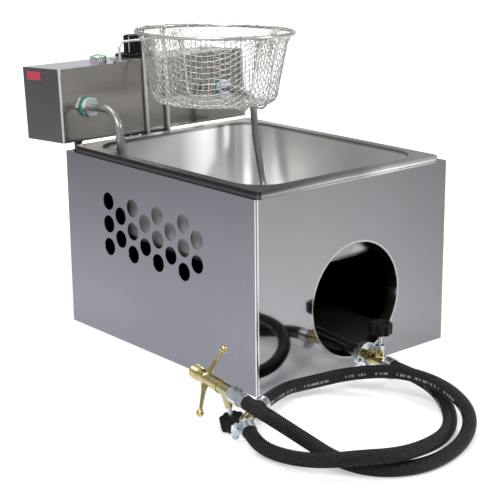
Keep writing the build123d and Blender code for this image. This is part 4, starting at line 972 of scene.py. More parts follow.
def loft(shape: BMesh, rings: Sequence[Sequence[Vector]], place: Matrix) -> None:
    """Skins closed rings one after the other and caps both ends.

    Args:
        shape: the bmesh to add to.
        rings: rings of equally many points, in metres.
        place: where the lofted form goes.
    """
    loops = []
    for ring in rings:
        made = bmesh.ops.create_circle(shape, segments=len(ring), radius=1.0)["verts"]
        for vert, point in zip(made, ring):
            vert.co = place @ point
        loops.append(made)
    for low, high in zip(loops, loops[1:]):
        one, two = set(low), set(high)
        edges = edges_of([*low, *high])
        around = [edge for edge in edges if one.issuperset(edge.verts) or two.issuperset(edge.verts)]
        bmesh.ops.bridge_loops(shape, edges=around)
    for end in (loops[0], loops[-1]):
        bmesh.ops.contextual_create(shape, geom=end)


def dress(piece: Object, material: Material) -> None:
    """Gives a piece one material."""
    piece.data.materials.clear()
    piece.data.materials.append(material)


def settle(piece: Object, body: str, nodes: Iterable[str], material: Material) -> None:
    """Puts a finished piece on its body, gives it its material and hides the CAD nodes that it stands for.

    Args:
        piece: the piece.
        body: the CAD body that it rides on.
        nodes: CAD nodes that it stands for.
        material: its material.
    """
    dress(piece, material)
    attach(piece, body)
    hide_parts(*nodes)
    LOG.info("piece %s rides on %s: %d faces", piece.name, body, len(piece.data.polygons))


# ------------------------------------------------------------------ hoses
@dataclass
class Hose:
    """One length of braided hose along its own smooth line.

    Its length, in metres, is not used. Its crease is in degrees, and all other sizes are in millimetres.
    """

    name: str
    node: str
    route: Sequence[Point]
    length: float
    far_end: str
    with_pieces: Sequence[str]
    radius: float = 7.0
    ring_gap: float = 1.4
    faces_round: int = 32
    braid_rise: float = 0.30
    line_steps: int = 40
    crease: float = 60.0

    def line(self) -> list[Vector]:
        """Points of the route's NURBS line, starting at the hose's exit."""
        curve = bpy.data.curves.new(self.name + "_line", "CURVE")
        curve.dimensions = "3D"
        curve.resolution_u = self.line_steps
        spline = add_spline(curve, "NURBS", ([value * MM for value in place] for place in self.route))
        spline.order_u = 3
        spline.use_endpoint_u = True
        mesh = curve_mesh(curve)
        points = [vert.co.copy() for vert in mesh.vertices]
        bpy.data.meshes.remove(mesh)
        exit_point = Vector(self.route[0]) * MM
        if (points[0] - exit_point).length > (points[-1] - exit_point).length:
            points.reverse()
        return points

    def even(self, points: Sequence[Vector]) -> list[Vector]:
        """Points at equal steps along the line.

        Args:
            points: the line's own points.

        Returns:
            Points ring_gap apart, with both ends kept.
        """
        spans = [(b - a).length for a, b in zip(points, points[1:])]
        total = sum(spans)
        count = round(total / (self.ring_gap * MM))
        found, index, passed = [], 0, 0.0
        for step in range(count + 1):
            target = total * step / count
            while index < len(spans) - 1 and passed + spans[index] < target:
                passed += spans[index]
                index += 1
            share = min(1.0, (target - passed) / spans[index])
            found.append(points[index].lerp(points[index + 1], share))
        return found

    def build(self, material: Material) -> None:
        """Args:
            material: its material.
        """
        path = self.even(self.line())
        shape = bmesh.new()
        chart = shape.loops.layers.uv.new("along_hose")
        start = bmesh.ops.create_circle(shape, segments=self.faces_round, radius=self.radius * MM)["verts"]
        rings = [self.set_ring(start, path, 0)]
        edges = edges_of(start)
        for step in range(1, len(path)):
            grown = bmesh.ops.extrude_edge_only(shape, edges=edges)["geom"]
            fresh = [item for item in grown if isinstance(item, BMVert)]
            edges = [
                item
                for item in grown
                if isinstance(item, BMEdge) and all(vert in fresh for vert in item.verts)
            ]
            source = {
                vert: other
                for vert in fresh
                for edge in vert.link_edges
                for other in edge.verts
                if other not in fresh
            }
            order = {vert: index for index, vert in enumerate(rings[-1])}
            ring = sorted(fresh, key=lambda vert: order[source[vert]])
            rings.append(self.set_ring(ring, path, step))
        self.chart_faces(shape, chart, rings)
        for ring in (rings[0], rings[-1]):
            bmesh.ops.contextual_create(shape, geom=ring)
        bmesh.ops.recalc_face_normals(shape, faces=shape.faces)
        hose = stand(self.name, smooth(to_mesh(self.name, shape), self.crease))
        settle(hose, "housing", [self.node], material)

    def set_ring(self, ring: Sequence[BMVert], path: Sequence[Vector], step: int) -> list[BMVert]:
        """Places one ring of the braid square to the line.

        Args:
            ring: the ring's vertices in order.
            path: the line's points.
            step: which of them the ring stands at.

        Returns:
            The same vertices.
        """
        ahead, behind = path[min(step + 1, len(path) - 1)], path[max(step - 1, 0)]
        along = (ahead - behind).normalized()
        left = Vector((0, 0, 1)).cross(along).normalized()
        up = along.cross(left)
        at_end = step in (0, len(path) - 1)
        for index, vert in enumerate(ring):
            angle = 2 * math.pi * index / len(ring)
            rise = 0.0 if at_end else (self.braid_rise if (index + step) % 2 == 0 else -self.braid_rise)
            reach = (self.radius - self.braid_rise + rise) * MM
            vert.co = path[step] + (up * math.cos(angle) - left * math.sin(angle)) * reach
        return list(ring)

    def chart_faces(self, shape: BMesh, chart: BMLayerItem, rings: Sequence[Sequence[BMVert]]) -> None:
        """Writes each face's UV in metres: round the hose, then along it.

        Args:
            shape: the hose's bmesh.
            chart: its UV layer.
            rings: its rings in order.
        """
        spot = {vert: (index, step) for step, ring in enumerate(rings) for index, vert in enumerate(ring)}
        girth = 2 * math.pi * self.radius * MM
        for face in shape.faces:
            columns = [spot[loop.vert][0] for loop in face.loops]
            wraps = max(columns) - min(columns) > 1
            for loop in face.loops:
                column, step = spot[loop.vert]
                column += self.faces_round if wraps and column == 0 else 0
                loop[chart].uv = (girth * column / self.faces_round, step * self.ring_gap * MM)


OUTER_ROUTE = (
    (-185.0, -223.0, 18.5), (-135.0, -195.0, 15.0), (-94.0, -198.0, 13.5), (-54.0, -221.0, 21.0),
    (-26.0, -262.0, 27.0), (-21.0, -317.0, 25.5), (-38.0, -366.0, 16.5), (-82.0, -395.0, 7.6),
    (-141.0, -406.0, 7.0), (-182.0, -385.0, 7.0), (-196.0, -347.0, 7.0), (-199.0, -303.0, 15.5),
    (-222.0, -284.0, 36.5), (-228.95, -269.6, 44.0), (-226.49, -254.5, 44.0),
)
INNER_ROUTE = (
    (-12.21, -226.05, 21.92), (-13.05, -243.0, 21.27), (-8.5, -262.0, 17.5), (-5.0, -283.0, 11.5),
    (-15.0, -309.0, 7.5), (-43.0, -344.0, 7.0), (-82.0, -373.0, 10.0), (-136.0, -398.0, 21.5),
    (-172.0, -396.0, 22.8), (-199.0, -375.0, 21.5), (-219.0, -351.0, 16.0), (-226.0, -316.0, 9.0),
    (-231.0, -285.0, 8.5), (-228.7, -262.4, 14.4), (-222.0, -247.5, 19.3),
)


# ------------------------------------------------------------------ fittings
@dataclass
class WingScrew:
    """Threaded nose and hub turned in one piece, with two faceted ball-ended arms.

    Sizes are in millimetres and the arms' angle is in degrees.
    """

    bore: float = 3.6
    crest: float = 7.2
    root: float = 6.55
    pitch: float = 1.6
    nose_end: float = 13.5
    groove: float = 5.9
    hub: float = 6.6
    collar: float = 7.0
    hub_end: float = 29.4
    plane: float = 22.4
    reach: float = 33.0
    sweep: float = 12.0
    angle: float = 65.5
    ball: float = 4.0

    def hub_profile(self) -> list[Pair]:
        """The turned outline as (radius, height), closed along the bore."""
        points = [(self.bore, 0.0), (5.7, 0.0), (self.root, 0.7)]
        turns = int((self.nose_end - 1.6) / self.pitch)
        for turn in range(turns):
            start = 0.9 + turn * self.pitch
            points += [
                (self.root, start),
                (self.crest, start + 0.35 * self.pitch),
                (self.crest, start + 0.55 * self.pitch),
                (self.root, start + 0.90 * self.pitch),
            ]
        return [
            *points,
            (self.root, self.nose_end), (self.groove, self.nose_end + 0.5), (self.groove, 15.2),
            (self.hub, 16.0), (self.hub, 23.8), (self.collar, 24.2), (self.collar, 26.4),
            (self.hub, 26.8), (6.2, self.hub_end), (self.bore, self.hub_end), (self.bore, 0.0),
        ]

    def arm_profile(self, length: float) -> list[Pair]:
        """Outline of one arm from inside the hub to its ball."""
        return [
            (0.0, 4.0), (3.9, 4.0), (3.7, 8.5), (2.5, 13.0), (1.9, length - 7.0),
            (1.7, length - 4.5), (2.5, length - 3.2), (0.0, length - 3.0),
        ]

    def build(self, material: Material) -> None:
        """Makes the screw in place of the plain one.

        Args:
            material: its material.
        """
        shape = bmesh.new()
        lathe(shape, self.hub_profile(), 56)
        length = math.hypot(self.reach, self.sweep)
        for turn in (0, 180):
            swing = Matrix.Rotation(math.radians(self.angle + turn), 4, "Z")
            arm = swing @ frame_from((0, 0, self.plane * MM), (0, 1, 0), (self.reach, 0, self.sweep))
            lathe(shape, self.arm_profile(length), 8, arm)
            arc = [math.radians(-90 + 15 * step) for step in range(13)]
            round_end = [(max(self.ball * math.cos(tilt), 0.0), self.ball * math.sin(tilt)) for tilt in arc]
            lathe(shape, round_end, 28, arm @ Matrix.Translation((0, 0, length * MM)))
        piece = to_object("wing_screw_turned", shape, CONNECTOR_FRAME, 28.0)
        settle(piece, "wing_screw", ["wing_screw"], material)


@dataclass
class HandKnob:
    """Moulded knob with rounded lobes and a dished top.

    Sizes are in millimetres. valley_shape is the power that narrows the valleys between the lobes, and
    fade is the inset at which they have run out.
    """

    name: str
    node: str
    body: str
    place: Matrix
    radius: float = 12.5
    height: float = 12.2
    lobes: int = 8
    depth: float = 2.0
    valley_shape: float = 1.6
    fade: float = 3.5
    points_round: int = 96

    def ring(self, inset: float, height: float) -> list[Vector]:
        """One closed ring of the knob, in metres.

        Args:
            inset: how far it lies inside the widest outline, in millimetres.
            height: its height in millimetres.

        Returns:
            The ring's points.
        """
        points = []
        for index in range(self.points_round):
            angle = 2 * math.pi * index / self.points_round
            valley = (0.5 - 0.5 * math.cos(self.lobes * angle)) ** self.valley_shape
            reach = (self.radius - inset - self.depth * valley * max(0.0, 1 - inset / self.fade)) * MM
            points.append(Vector((reach * math.cos(angle), reach * math.sin(angle), height * MM)))
        return points

    def build(self, material: Material) -> None:
        """Makes the knob in place of the plain one.

        Args:
            material: its material.
        """
        top = self.height
        steps = (
            (2.2, 0.0), (0.7, 0.3), (0.0, 1.3), (0.0, top - 1.6), (0.5, top - 0.5), (1.4, top),
            (3.6, top), (4.3, top - 0.8), (6.5, top - 1.1),
        )
        shape = bmesh.new()
        loft(shape, [self.ring(inset, height) for inset, height in steps], Matrix.Identity(4))
        piece = to_object(self.name, shape, self.place, 50.0)
        settle(piece, self.body, [self.node], material)


@dataclass
class ThermostatKnob:
    """Skirted knob with a fluted grip, a pale pointer line and plain scale marks.

    Sizes are in millimetres and turns in degrees: the marks begin marks_from past the pointer.
    """

    place: Matrix = field(default_factory=lambda: HEAD_FRAME @ Matrix.Translation((0, 37.0 * MM, 86.0 * MM)))
    skirt: float = 27.0
    skirt_low: float = 2.5
    skirt_top: float = 6.0
    grip: float = 16.0
    top: float = 28.0
    flutes: int = 12
    pointer: float = 200.0
    marks: int = 11
    marks_from: float = 35.0
    marks_sweep: float = 290.0
    marks_radius: float = 23.0
    points_round: int = 144

    def ring(self, radius: float, height: float, flute: float = 0.0) -> list[Vector]:
        """One closed ring of the knob, in metres.

        Args:
            radius: its radius in millimetres.
            height: its height in millimetres.
            flute: depth of its flutes in millimetres.

        Returns:
            The ring's points.
        """
        points = []
        for index in range(self.points_round):
            angle = 2 * math.pi * index / self.points_round
            reach = (radius - flute * (0.5 - 0.5 * math.cos(self.flutes * angle)) ** 2) * MM
            points.append(Vector((reach * math.cos(angle), reach * math.sin(angle), height * MM)))
        return points

    def mark(self, shape: BMesh, size: Sequence[float], place: Matrix) -> None:
        """Adds a pale mark: a thin slab whose faces carry the mark attribute.

        Args:
            shape: the knob's bmesh.
            size: the mark's sides in millimetres.
            place: where it goes on the knob.
        """
        layer = shape.faces.layers.float["marked"]
        for vert in slab(shape, size, place):
            for face in vert.link_faces:
                face[layer] = 1.0

    def build(self, material: Material) -> None:
        """Makes the knob in place of the plain one.

        Args:
            material: its material, which reads the mark attribute.
        """
        shape = bmesh.new()
        shape.faces.layers.float.new("marked")
        skirt, low, high, grip, top = self.skirt, self.skirt_low, self.skirt_top, self.grip, self.top
        rings = (
            (skirt - 1.0, low), (skirt, low + 0.5), (skirt, high - 0.8), (skirt - 1.0, high),
            (grip + 2.0, high), (grip + 0.4, high + 0.8, 0.6), (grip, high + 2.5, 1.4),
            (grip - 0.4, top - 1.2, 1.4), (grip - 1.6, top, 0.8), (grip - 4.0, top),
            (grip - 4.6, top - 0.6),
        )
        loft(shape, [self.ring(*ring) for ring in rings], Matrix.Identity(4))
        aim = Matrix.Rotation(math.radians(self.pointer), 4, "Z")
        side = Matrix.Translation(((self.grip - 0.3) * MM, 0, (self.skirt_top + self.top) / 2 * MM))
        self.mark(shape, (1.0, 0.9, self.top - self.skirt_top - 3.0), aim @ side)
        above = Matrix.Translation(((self.grip - 4.5) * MM, 0, self.top * MM))
        self.mark(shape, (7.0, 0.9, 0.5), aim @ above)
        for index in range(self.marks):
            angle = self.pointer + self.marks_from + self.marks_sweep / (self.marks - 1) * index
            turn = Matrix.Rotation(math.radians(angle), 4, "Z")
            out = Matrix.Translation((self.marks_radius * MM, 0, self.skirt_top * MM))
            self.mark(shape, (4.0, 0.8, 0.3), turn @ out)
        piece = to_object("thermostat_knob_marked", shape, self.place, 40.0)
        settle(piece, "thermostat_knob", ["thermostat_knob"], material)


@dataclass
class ClampBands:
    """Worm-drive clamps: rolled bands, screw housings and hexagon-headed screws, in millimetres."""

    inner: float = 7.1
    thickness: float = 0.8
    width: float = 11.0
    margin: float = 6.5
    housing: tuple[float, float, float] = (8.0, 9.0, 8.0)
    screw: float = 2.4
    screw_length: float = 14.0

    def places(self) -> list[Matrix]:
        """Each clamp's place: Z along the hose from its end, X towards the housing."""
        ends = (
            (OUTER_ROUTE[0], OUTER_ROUTE[1], (0, 0, -1)),
            (INNER_ROUTE[-1], INNER_ROUTE[-2], (-0.9, 0.5, 0)),
            (INNER_ROUTE[0], INNER_ROUTE[1], (0.2, 0, -1)),
        )
        found = []
        for end, inner, towards in ends:
            along = (Vector(inner) - Vector(end)).normalized()
            across = Vector(towards) - along * Vector(towards).dot(along)
            middle = Vector(end) * MM + along * self.margin * MM
            found.append(frame_from(middle, across, along))
        return found

    def build(self, material: Material) -> None:
        """Makes the clamps in place of the plain ones.

        Args:
            material: their material.
        """
        shape = bmesh.new()
        outer, half = self.inner + self.thickness, self.width / 2
        band = [
            (self.inner, -half), (outer + 0.2, -half), (outer + 0.3, -half + 0.5),
            (outer, -half + 0.9), (outer, half - 0.9), (outer + 0.3, half - 0.5),
            (outer + 0.2, half), (self.inner, half), (self.inner, -half),
        ]
        for place in self.places():
            lathe(shape, band, 48, place)
            centre = (outer + self.housing[0] / 2 - 0.4) * MM
            slab(shape, self.housing, place @ Matrix.Translation((centre, 0, 0)), 1.2)
            start = place @ Matrix.Translation((centre, -self.screw_length / 2 * MM, 0))
            axis = start @ Matrix.Rotation(math.radians(-90), 4, "X")
            bar(shape, self.screw, self.screw_length, 20, axis)
            bar(shape, self.screw + 1.0, 2.8, 6, axis @ Matrix.Translation((0, 0, self.screw_length * MM)))
        piece = to_object("clamp_bands", shape, Matrix.Identity(4), 32.0)
        settle(piece, "housing", ["hose_clamps", "clamp_screws"], material)


# ------------------------------------------------------------------ basket
@dataclass
class WovenBasket:
    """Bucket pressed from square woven wire cloth, its edge curled over the rim ring.

    Lengths are in millimetres. turn and curl are in degrees, angle_step and angle_stride in radians.
    neck_point is the neck's index in the section. Past it the net is laid along net_rise (out, up),
    and the cloth itself turns over the ring, hug away from it. wobble is how uneven the weave is.
    Each crossing is found in tries steps or fewer, to within fit: arc_step and angle_step measure
    the slope, and the strides are the longest steps.
    """

    rim_radius: float = 90.5
    ring_radius: float = 2.0
    neck_radius: float = 84.0
    neck_drop: float = 11.0
    floor_radius: float = 71.5
    depth: float = 80.4
    corner: float = 12.0
    inset: float = 0.7
    pitch: float = 6.4
    wire: float = 0.38
    weave: float = 0.34
    turn: float = 41.0
    curl: float = 118.0
    hug: float = 0.5
    hug_drop: float = 1.2
    arc_steps: int = 8
    wobble: float = 0.12
    neck_point: int = -11
    net_rise: Pair = (0.35, 0.93)
    tries: int = 14
    fit: float = 1e-4
    arc_step: float = 0.01
    angle_step: float = 1e-4
    arc_stride: float = 3.0
    angle_stride: float = 0.05
    profile: list[Pair] = field(default_factory=list)
    arcs: list[float] = field(default_factory=list)

    def draw_profile(self) -> None:
        """Lays out the cloth's half section from the middle of the floor to its curled edge."""
        floor = -self.depth + self.inset
        foot = self.floor_radius - self.inset
        neck = self.neck_radius - self.inset
        slope = math.atan2(neck - foot, self.depth - self.neck_drop)
        turn = math.pi / 2 - slope
        reach = self.corner * math.tan(turn / 2)
        points = [(0.0, floor), (foot - reach, floor)]
        for step in range(1, self.arc_steps + 1):
            angle = turn * step / self.arc_steps
            out, up = math.sin(angle), 1 - math.cos(angle)
            points.append((foot - reach + self.corner * out, floor + self.corner * up))
        points.append((neck, -self.neck_drop))
        hug = self.ring_radius + self.hug
        points.append((self.rim_radius - hug, -self.hug_drop))
        for step in range(self.arc_steps + 1):
            angle = math.radians(180 - self.curl * step / self.arc_steps)
            points.append((self.rim_radius + hug * math.cos(angle), hug * math.sin(angle)))
        self.profile = points
        self.arcs = [0.0]
        for first, second in zip(points, points[1:]):
            self.arcs.append(self.arcs[-1] + math.hypot(second[0] - first[0], second[1] - first[1]))

    def section(self, arc: float) -> tuple[float, float, float, float]:
        """Radius, height and outward normal at a distance along the section.

        Args:
            arc: millimetres from the middle of the floor. Past the edge it runs on upright.

        Returns:
            (radius, height, normal's radial part, normal's upward part).
        """
        points, arcs = self.profile, self.arcs
        if arc >= arcs[-1]:
            return points[-1][0], points[-1][1] + arc - arcs[-1], 1.0, 0.0
        index = max(i for i, value in enumerate(arcs) if value <= arc)
        share = (arc - arcs[index]) / (arcs[index + 1] - arcs[index])
        first, second = points[index], points[index + 1]
        run, rise = second[0] - first[0], second[1] - first[1]
        length = math.hypot(run, rise)
        return first[0] + run * share, first[1] + rise * share, rise / length, -run / length

    def on_cloth(self, arc: float, angle: float) -> Vector:
        """Point of the cloth's middle surface, in millimetres."""
        radius, height, _, _ = self.net_section(arc)
        return Vector((radius * math.cos(angle), radius * math.sin(angle), height))

    def net_section(self, arc: float) -> tuple[float, float, float, float]:
        """The section for laying the net: as section(), but straight up past the neck."""
        limit = self.arcs[self.neck_point]
        if arc <= limit:
            return self.section(arc)
        radius, height, _, _ = self.section(limit)
        out, up = self.net_rise
        return radius + out * (arc - limit), height + up * (arc - limit), 1.0, 0.0

    def next_knot(self, left: Pair, below: Pair, back: Pair) -> Pair:
        """Crossing one pitch from its two neighbours, on the cloth's far side from back.

        Args:
            left: (arc, angle) of one neighbour.
            below: (arc, angle) of the other.
            back: (arc, angle) of the crossing between them.

        Returns:
            The new crossing's (arc, angle).
        """
        one, two = self.on_cloth(*left), self.on_cloth(*below)
        arc = left[0] + below[0] - back[0]
        angle = left[1] + below[1] - back[1]
        for _ in range(self.tries):
            here = self.on_cloth(arc, angle)
            by_arc = (self.on_cloth(arc + self.arc_step, angle) - here) / self.arc_step
            by_angle = (self.on_cloth(arc, angle + self.angle_step) - here) / self.angle_step
            gap_one, gap_two = here - one, here - two
            error_one = gap_one.length - self.pitch
            error_two = gap_two.length - self.pitch
            if max(abs(error_one), abs(error_two)) < self.fit:
                break
            a, b = gap_one.normalized().dot(by_arc), gap_one.normalized().dot(by_angle)
            c, d = gap_two.normalized().dot(by_arc), gap_two.normalized().dot(by_angle)
            scale = a * d - b * c
            if abs(scale) < 1e-6:
                break
            along = (d * error_one - b * error_two) / scale
            round_it = (a * error_two - c * error_one) / scale
            arc -= max(-self.arc_stride, min(self.arc_stride, along))
            angle -= max(-self.angle_stride, min(self.angle_stride, round_it))
        return arc, angle

    def lay_net(self) -> dict[tuple[int, int], Pair]:
        """Crossings of one quarter of the cloth, as a net whose wires keep their length."""
        count = int(self.arcs[-1] / self.pitch) + 2
        knots = {}
        for i in range(count + 1):
            knots[i, 0] = (i * self.pitch, 0.0)
            knots[0, i] = (i * self.pitch, math.pi / 2)
        for i in range(1, count + 1):
            for j in range(1, count + 1):
                back = knots.get((i - 1, j - 1))
                left, below = knots.get((i - 1, j)), knots.get((i, j - 1))
                if not (back and left and below):
                    continue
                if i == 1 and j == 1:
                    knots[1, 1] = (self.pitch * math.sqrt(2), math.pi / 4)
                    continue
                if min(left[0], below[0]) > self.arcs[-1] + self.pitch:
                    continue
                knots[i, j] = self.next_flat(i, j) or self.next_knot(left, below, back)
        return knots

    def next_flat(self, i: int, j: int) -> Optional[Pair]:
        """The crossing's place while it is still on the flat floor, or None past it."""
        reach = math.hypot(i, j) * self.pitch
        if reach > self.arcs[1]:
            return None
        return reach, math.atan2(j, i)

    def knot(self, knots: dict[tuple[int, int], Pair], i: int, j: int) -> Optional[Pair]:
        """Place of a crossing in any quarter.

        Args:
            knots: the net of one quarter.
            i: the crossing's column, negative on the far side.
            j: its row.

        Returns:
            Its (arc, angle), or None where the cloth is trimmed.
        """
        found = knots.get((abs(i), abs(j)))
        if found is None:
            return None
        arc, angle = found
        if i == 0 and j == 0:
            return 0.0, 0.0
        angle = angle if i >= 0 else math.pi - angle
        return arc, (angle if j >= 0 else -angle)

    def wires(self) -> list[list[Vector]]:
        """Each wire's points in millimetres, woven over and under the others."""
        knots = self.lay_net()
        top = max(i for i, _ in knots)
        uneven = random.Random(7)
        found = []
        for across in (False, True):
            for row in range(-top, top + 1):
                run: list[Vector] = []
                last: Optional[Pair] = None
                for column in range(-top, top + 1):
                    key = (row, column) if across else (column, row)
                    spot = self.knot(knots, *key)
                    if spot is None:
                        continue
                    side = 1 if (row + column) % 2 == 0 else -1
                    side = -side if across else side
                    if spot[0] > self.arcs[-1]:
                        if last and last[0] <= self.arcs[-1]:
                            run.append(self.trimmed(last, spot))
                            found.append(run)
                            run = []
                        last = spot
                        continue
                    if not run and last and last[0] > self.arcs[-1]:
                        run.append(self.trimmed(spot, last))
                    elif run:
                        run.append(self.between(last, spot))
                    rise = side * self.weave + uneven.uniform(-self.wobble, self.wobble)
                    run.append(self.raised(spot, rise))
                    last = spot
                if len(run) > 2:
                    found.append(run)
        return [run for run in found if len(run) > 2]

    def raised(self, spot: Pair, rise: float) -> Vector:
        """Point of the cloth lifted along its normal.

        Args:
            spot: its (arc, angle).
            rise: how far it is lifted, in millimetres.

        Returns:
            The point in millimetres.
        """
        radius, height, out, up = self.section(spot[0])
        radius += out * rise
        return Vector((radius * math.cos(spot[1]), radius * math.sin(spot[1]), height + up * rise))

    def between(self, first: Pair, second: Pair) -> Vector:
        """Point halfway between two crossings, on the cloth's middle surface.

        Args:
            first: (arc, angle) of one crossing.
            second: (arc, angle) of the next.

        Returns:
            The point in millimetres.
        """
        at_middle = min(first[0], second[0]) < 1e-6
        if at_middle or max(first[0], second[0]) < self.arcs[1]:
            return (self.raised(first, 0) + self.raised(second, 0)) / 2
        turn = (second[1] - first[1] + math.pi) % (2 * math.pi) - math.pi
        return self.raised(((first[0] + second[0]) / 2, first[1] + turn / 2), 0)

    def trimmed(self, inner: Pair, outer: Pair) -> Vector:
        """Where a wire meets the cloth's edge between two crossings.

        Args:
            inner: (arc, angle) of the crossing inside the edge.
            outer: (arc, angle) of the one past it.

        Returns:
            The point in millimetres.
        """
        share = (self.arcs[-1] - inner[0]) / max(outer[0] - inner[0], 1e-6)
        turn = (outer[1] - inner[1] + math.pi) % (2 * math.pi) - math.pi
        return self.raised((self.arcs[-1], inner[1] + turn * share), 0)

    def build(self, material: Material) -> None:
        """Makes the woven cloth as one mesh.

        Args:
            material: its material.
        """
        self.draw_profile()
        curve = bpy.data.curves.new("basket_cloth_line", "CURVE")
        curve.dimensions = "3D"
        curve.bevel_depth = self.wire * MM
        curve.bevel_resolution = 1
        curve.use_fill_caps = True
        for run in self.wires():
            add_spline(curve, "POLY", (place * MM for place in run))
        mesh = curve_mesh(curve)
        mesh.name = "basket_cloth"
        mesh.transform(BASKET_FRAME @ Matrix.Rotation(math.radians(self.turn), 4, "Z"))
        cloth = stand("basket_cloth", smooth(mesh))
        settle(cloth, "basket", ["basket_mesh"], material)


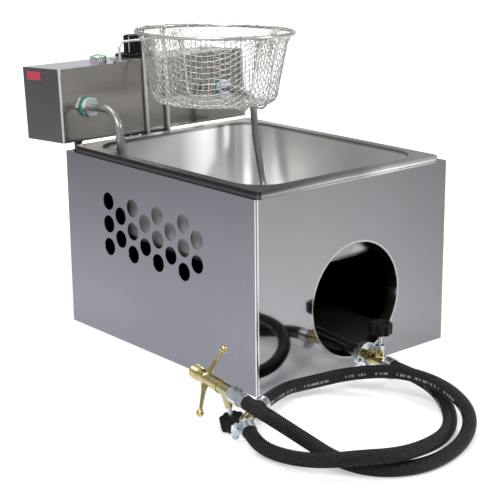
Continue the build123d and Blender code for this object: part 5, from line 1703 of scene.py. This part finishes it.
# ------------------------------------------------------------------ studio
@dataclass
class Studio:
    """Camera, lamps, pale floor and surroundings, in metres and degrees."""

    eye: Point = (-0.98283, -1.15190, 0.52021)
    azimuth: float = 40.2873
    dip: float = 15.6727
    roll: float = -0.5553
    lens: float = 97.9
    floor_size: float = 14.0
    floor_tone: Colour = (0.80, 0.80, 0.80)
    # painted shade on the floor under the housing: its colour and the half sides of its patch
    under_shade_tone: Colour = (0.06, 0.06, 0.06)
    under_shade_half: Pair = (0.138, 0.167)
    lift: float = 0.42
    aim: Point = (0.0, -0.05, 0.12)
    soft_glow: float = 0.5
    horizon: Span = (0.80, 0.42, 0.08, 0.24)
    overhead: Span = (0.0, 0.48, 0.40, 0.80)
    near_fade: Span = (0.0, 0.34, 0.30, 1.3)
    far_lift: Span = (0.0, 0.70, 0.4, 2.6)

    def camera(self) -> None:
        """Sets up the camera."""
        data = bpy.data.cameras.new("camera")
        data.lens = self.lens
        data.sensor_width = 36.0
        data.clip_start = 0.05
        data.clip_end = 60.0
        turn, dip, roll = (math.radians(value) for value in (self.azimuth, self.dip, self.roll))
        forward = Vector((math.cos(dip) * math.sin(turn), math.cos(dip) * math.cos(turn), -math.sin(dip)))
        level = Vector((math.cos(turn), -math.sin(turn), 0))
        upright = level.cross(forward)
        right = level * math.cos(roll) + upright * math.sin(roll)
        top = upright * math.cos(roll) - level * math.sin(roll)
        turned = Matrix((right, top, -forward)).transposed().to_4x4()
        eye = stand("camera", data)
        eye.matrix_world = Matrix.Translation(self.eye) @ turned
        bpy.context.scene.camera = eye

    def lamp(self, name: str, place: Point, size: float, power: float) -> None:
        """Args:
            name: the lamp's name.
            place: where it stands.
            size: its side in metres.
            power: its power in watts.
        """
        data = bpy.data.lights.new(name, "AREA")
        data.size = size
        data.energy = power
        towards = Vector(self.aim) - Vector(place)
        turned = towards.to_track_quat("-Z", "Y").to_matrix().to_4x4()
        stand(name, data).matrix_world = Matrix.Translation(place) @ turned

    def seen_directly(self, tree: Tree) -> NodeSocket:
        """1 for rays from the camera, off a mirror or through glass."""
        path = tree.node("ShaderNodeLightPath")
        seen = tree.maths("MAXIMUM", path.outputs["Is Camera Ray"], path.outputs["Is Glossy Ray"])
        return tree.maths("MAXIMUM", seen, path.outputs["Is Transmission Ray"])

    def world(self) -> None:
        """Sets up the surroundings: white where seen, softer as light."""
        world = bpy.data.worlds.new("studio")
        world.use_nodes = True
        bpy.context.scene.world = world
        tree = Tree(world.node_tree)
        shown = tree.node("ShaderNodeBackground")
        glow = tree.node("ShaderNodeBackground")
        tree.fill(glow, Strength=self.soft_glow)
        path = tree.node("ShaderNodeLightPath")
        where = tree.node("ShaderNodeTexCoord")
        height = tree.parts(where.outputs["Generated"])["Z"]
        low, high = tree.spread(height, *self.horizon), tree.spread(height, *self.overhead)
        mirrored = tree.maths("ADD", low, high)
        tone = tree.maths("MAXIMUM", mirrored, path.outputs["Is Camera Ray"])
        tree.fill(shown, Color=(1, 1, 1), Strength=tone)
        mixed = tree.node("ShaderNodeMixShader")
        tree.join(self.seen_directly(tree), mixed.inputs[0])
        tree.join(glow.outputs[0], mixed.inputs[1])
        tree.join(shown.outputs[0], mixed.inputs[2])
        end = tree.node("ShaderNodeOutputWorld")
        tree.join(mixed.outputs[0], end.inputs["Surface"])

    def floor(self) -> None:
        """Lays the pale floor, lifted to white where it is seen, with a painted shade under the housing."""
        shape = bmesh.new()
        bmesh.ops.create_grid(shape, x_segments=1, y_segments=1, size=self.floor_size / 2)
        floor = stand("floor", to_mesh("floor", shape))
        tree = Surface("studio_floor")
        x, y, _ = tree.parts(tree.where)
        # painted shade: a dark patch under the housing's footprint
        beside = tree.maths("LESS_THAN", tree.maths("ABSOLUTE", x), self.under_shade_half[0])
        along = tree.maths("LESS_THAN", tree.maths("ABSOLUTE", y), self.under_shade_half[1])
        under = tree.maths("MULTIPLY", beside, along)
        tone = tree.blend(under, self.floor_tone, self.under_shade_tone)
        tree.set(Base_Color=tone, Roughness=0.9, Specular_IOR_Level=0.1)
        reach = tree.node("ShaderNodeVectorMath", operation="LENGTH")
        tree.join(tree.where, reach.inputs[0])
        near = tree.spread(reach.outputs["Value"], *self.near_fade)
        path = tree.node("ShaderNodeLightPath")
        fade = tree.maths("MULTIPLY", near, path.outputs["Is Glossy Ray"])
        far = tree.spread(reach.outputs["Value"], *self.far_lift)
        lifted = tree.maths("MULTIPLY", far, path.outputs["Is Camera Ray"])
        raised = tree.maths("SUBTRACT", tree.maths("ADD", lifted, self.lift), fade)
        # no lift on the painted shade under the housing
        shown = tree.maths("MULTIPLY", raised, tree.maths("SUBTRACT", 1.0, under))
        seen = tree.maths("MULTIPLY", shown, self.seen_directly(tree))
        tree.set(Emission_Color=(1, 1, 1), Emission_Strength=seen)
        dress(floor, tree.material)

    def build(self) -> None:
        """Sets up everything but the camera."""
        self.lamp("key", (-1.3, -1.1, 1.7), 1.1, 26.0)
        self.lamp("fill", (1.18, -1.3, 1.1), 0.35, 14.0)
        self.lamp("top", (0.1, 0.6, 1.9), 1.2, 12.0)
        self.world()
        self.floor()


def main() -> None:
    logging.basicConfig(level=logging.INFO, format="%(message)s")
    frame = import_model()
    studio = Studio()
    studio.camera()
    surfaces = {slot: finish.build() for slot, finish in FINISHES.items()}
    WingScrew().build(surfaces["brass"])
    ClampBands().build(surfaces["zinc"])
    ThermostatKnob().build(DIAL_FINISH.build())
    valve_seat = BURNER_FRAME @ Matrix.Translation((0, -26.0 * MM, 29.9 * MM))
    side_seat = BRANCH_FRAME @ Matrix.Translation((0, 0, 29.5 * MM))
    HandKnob("valve_knob_lobed", "valve_knob", "gas_valve", valve_seat).build(surfaces["knob_black"])
    HandKnob("side_knob_lobed", "side_knob", "connector_valve", side_seat).build(surfaces["knob_black"])
    rubber = BraidedRubber().build()
    Hose(
        "inner_hose_braid", "inner_hose", INNER_ROUTE, 0.447, "fitting", ["hose_joiner", "clamp_bands"]
    ).build(rubber)
    Hose(
        "outer_hose_braid", "outer_hose", OUTER_ROUTE, 0.604, "connector",
        [
            "connector_body", "body_ring", "hose_nut", "hose_tail", "wing_screw_turned", "side_stem",
            "side_knob_lobed",
        ],
    ).build(rubber)
    for slot, nodes in NODE_FINISHES.items():
        for node in nodes:
            dress(frame["nodes"][node], surfaces[slot])
    WovenBasket().build(surfaces["wire_steel"])
    studio.build()
    bpy.context.scene.view_settings.view_transform = "Standard"


if __name__ == "__main__":
    main()
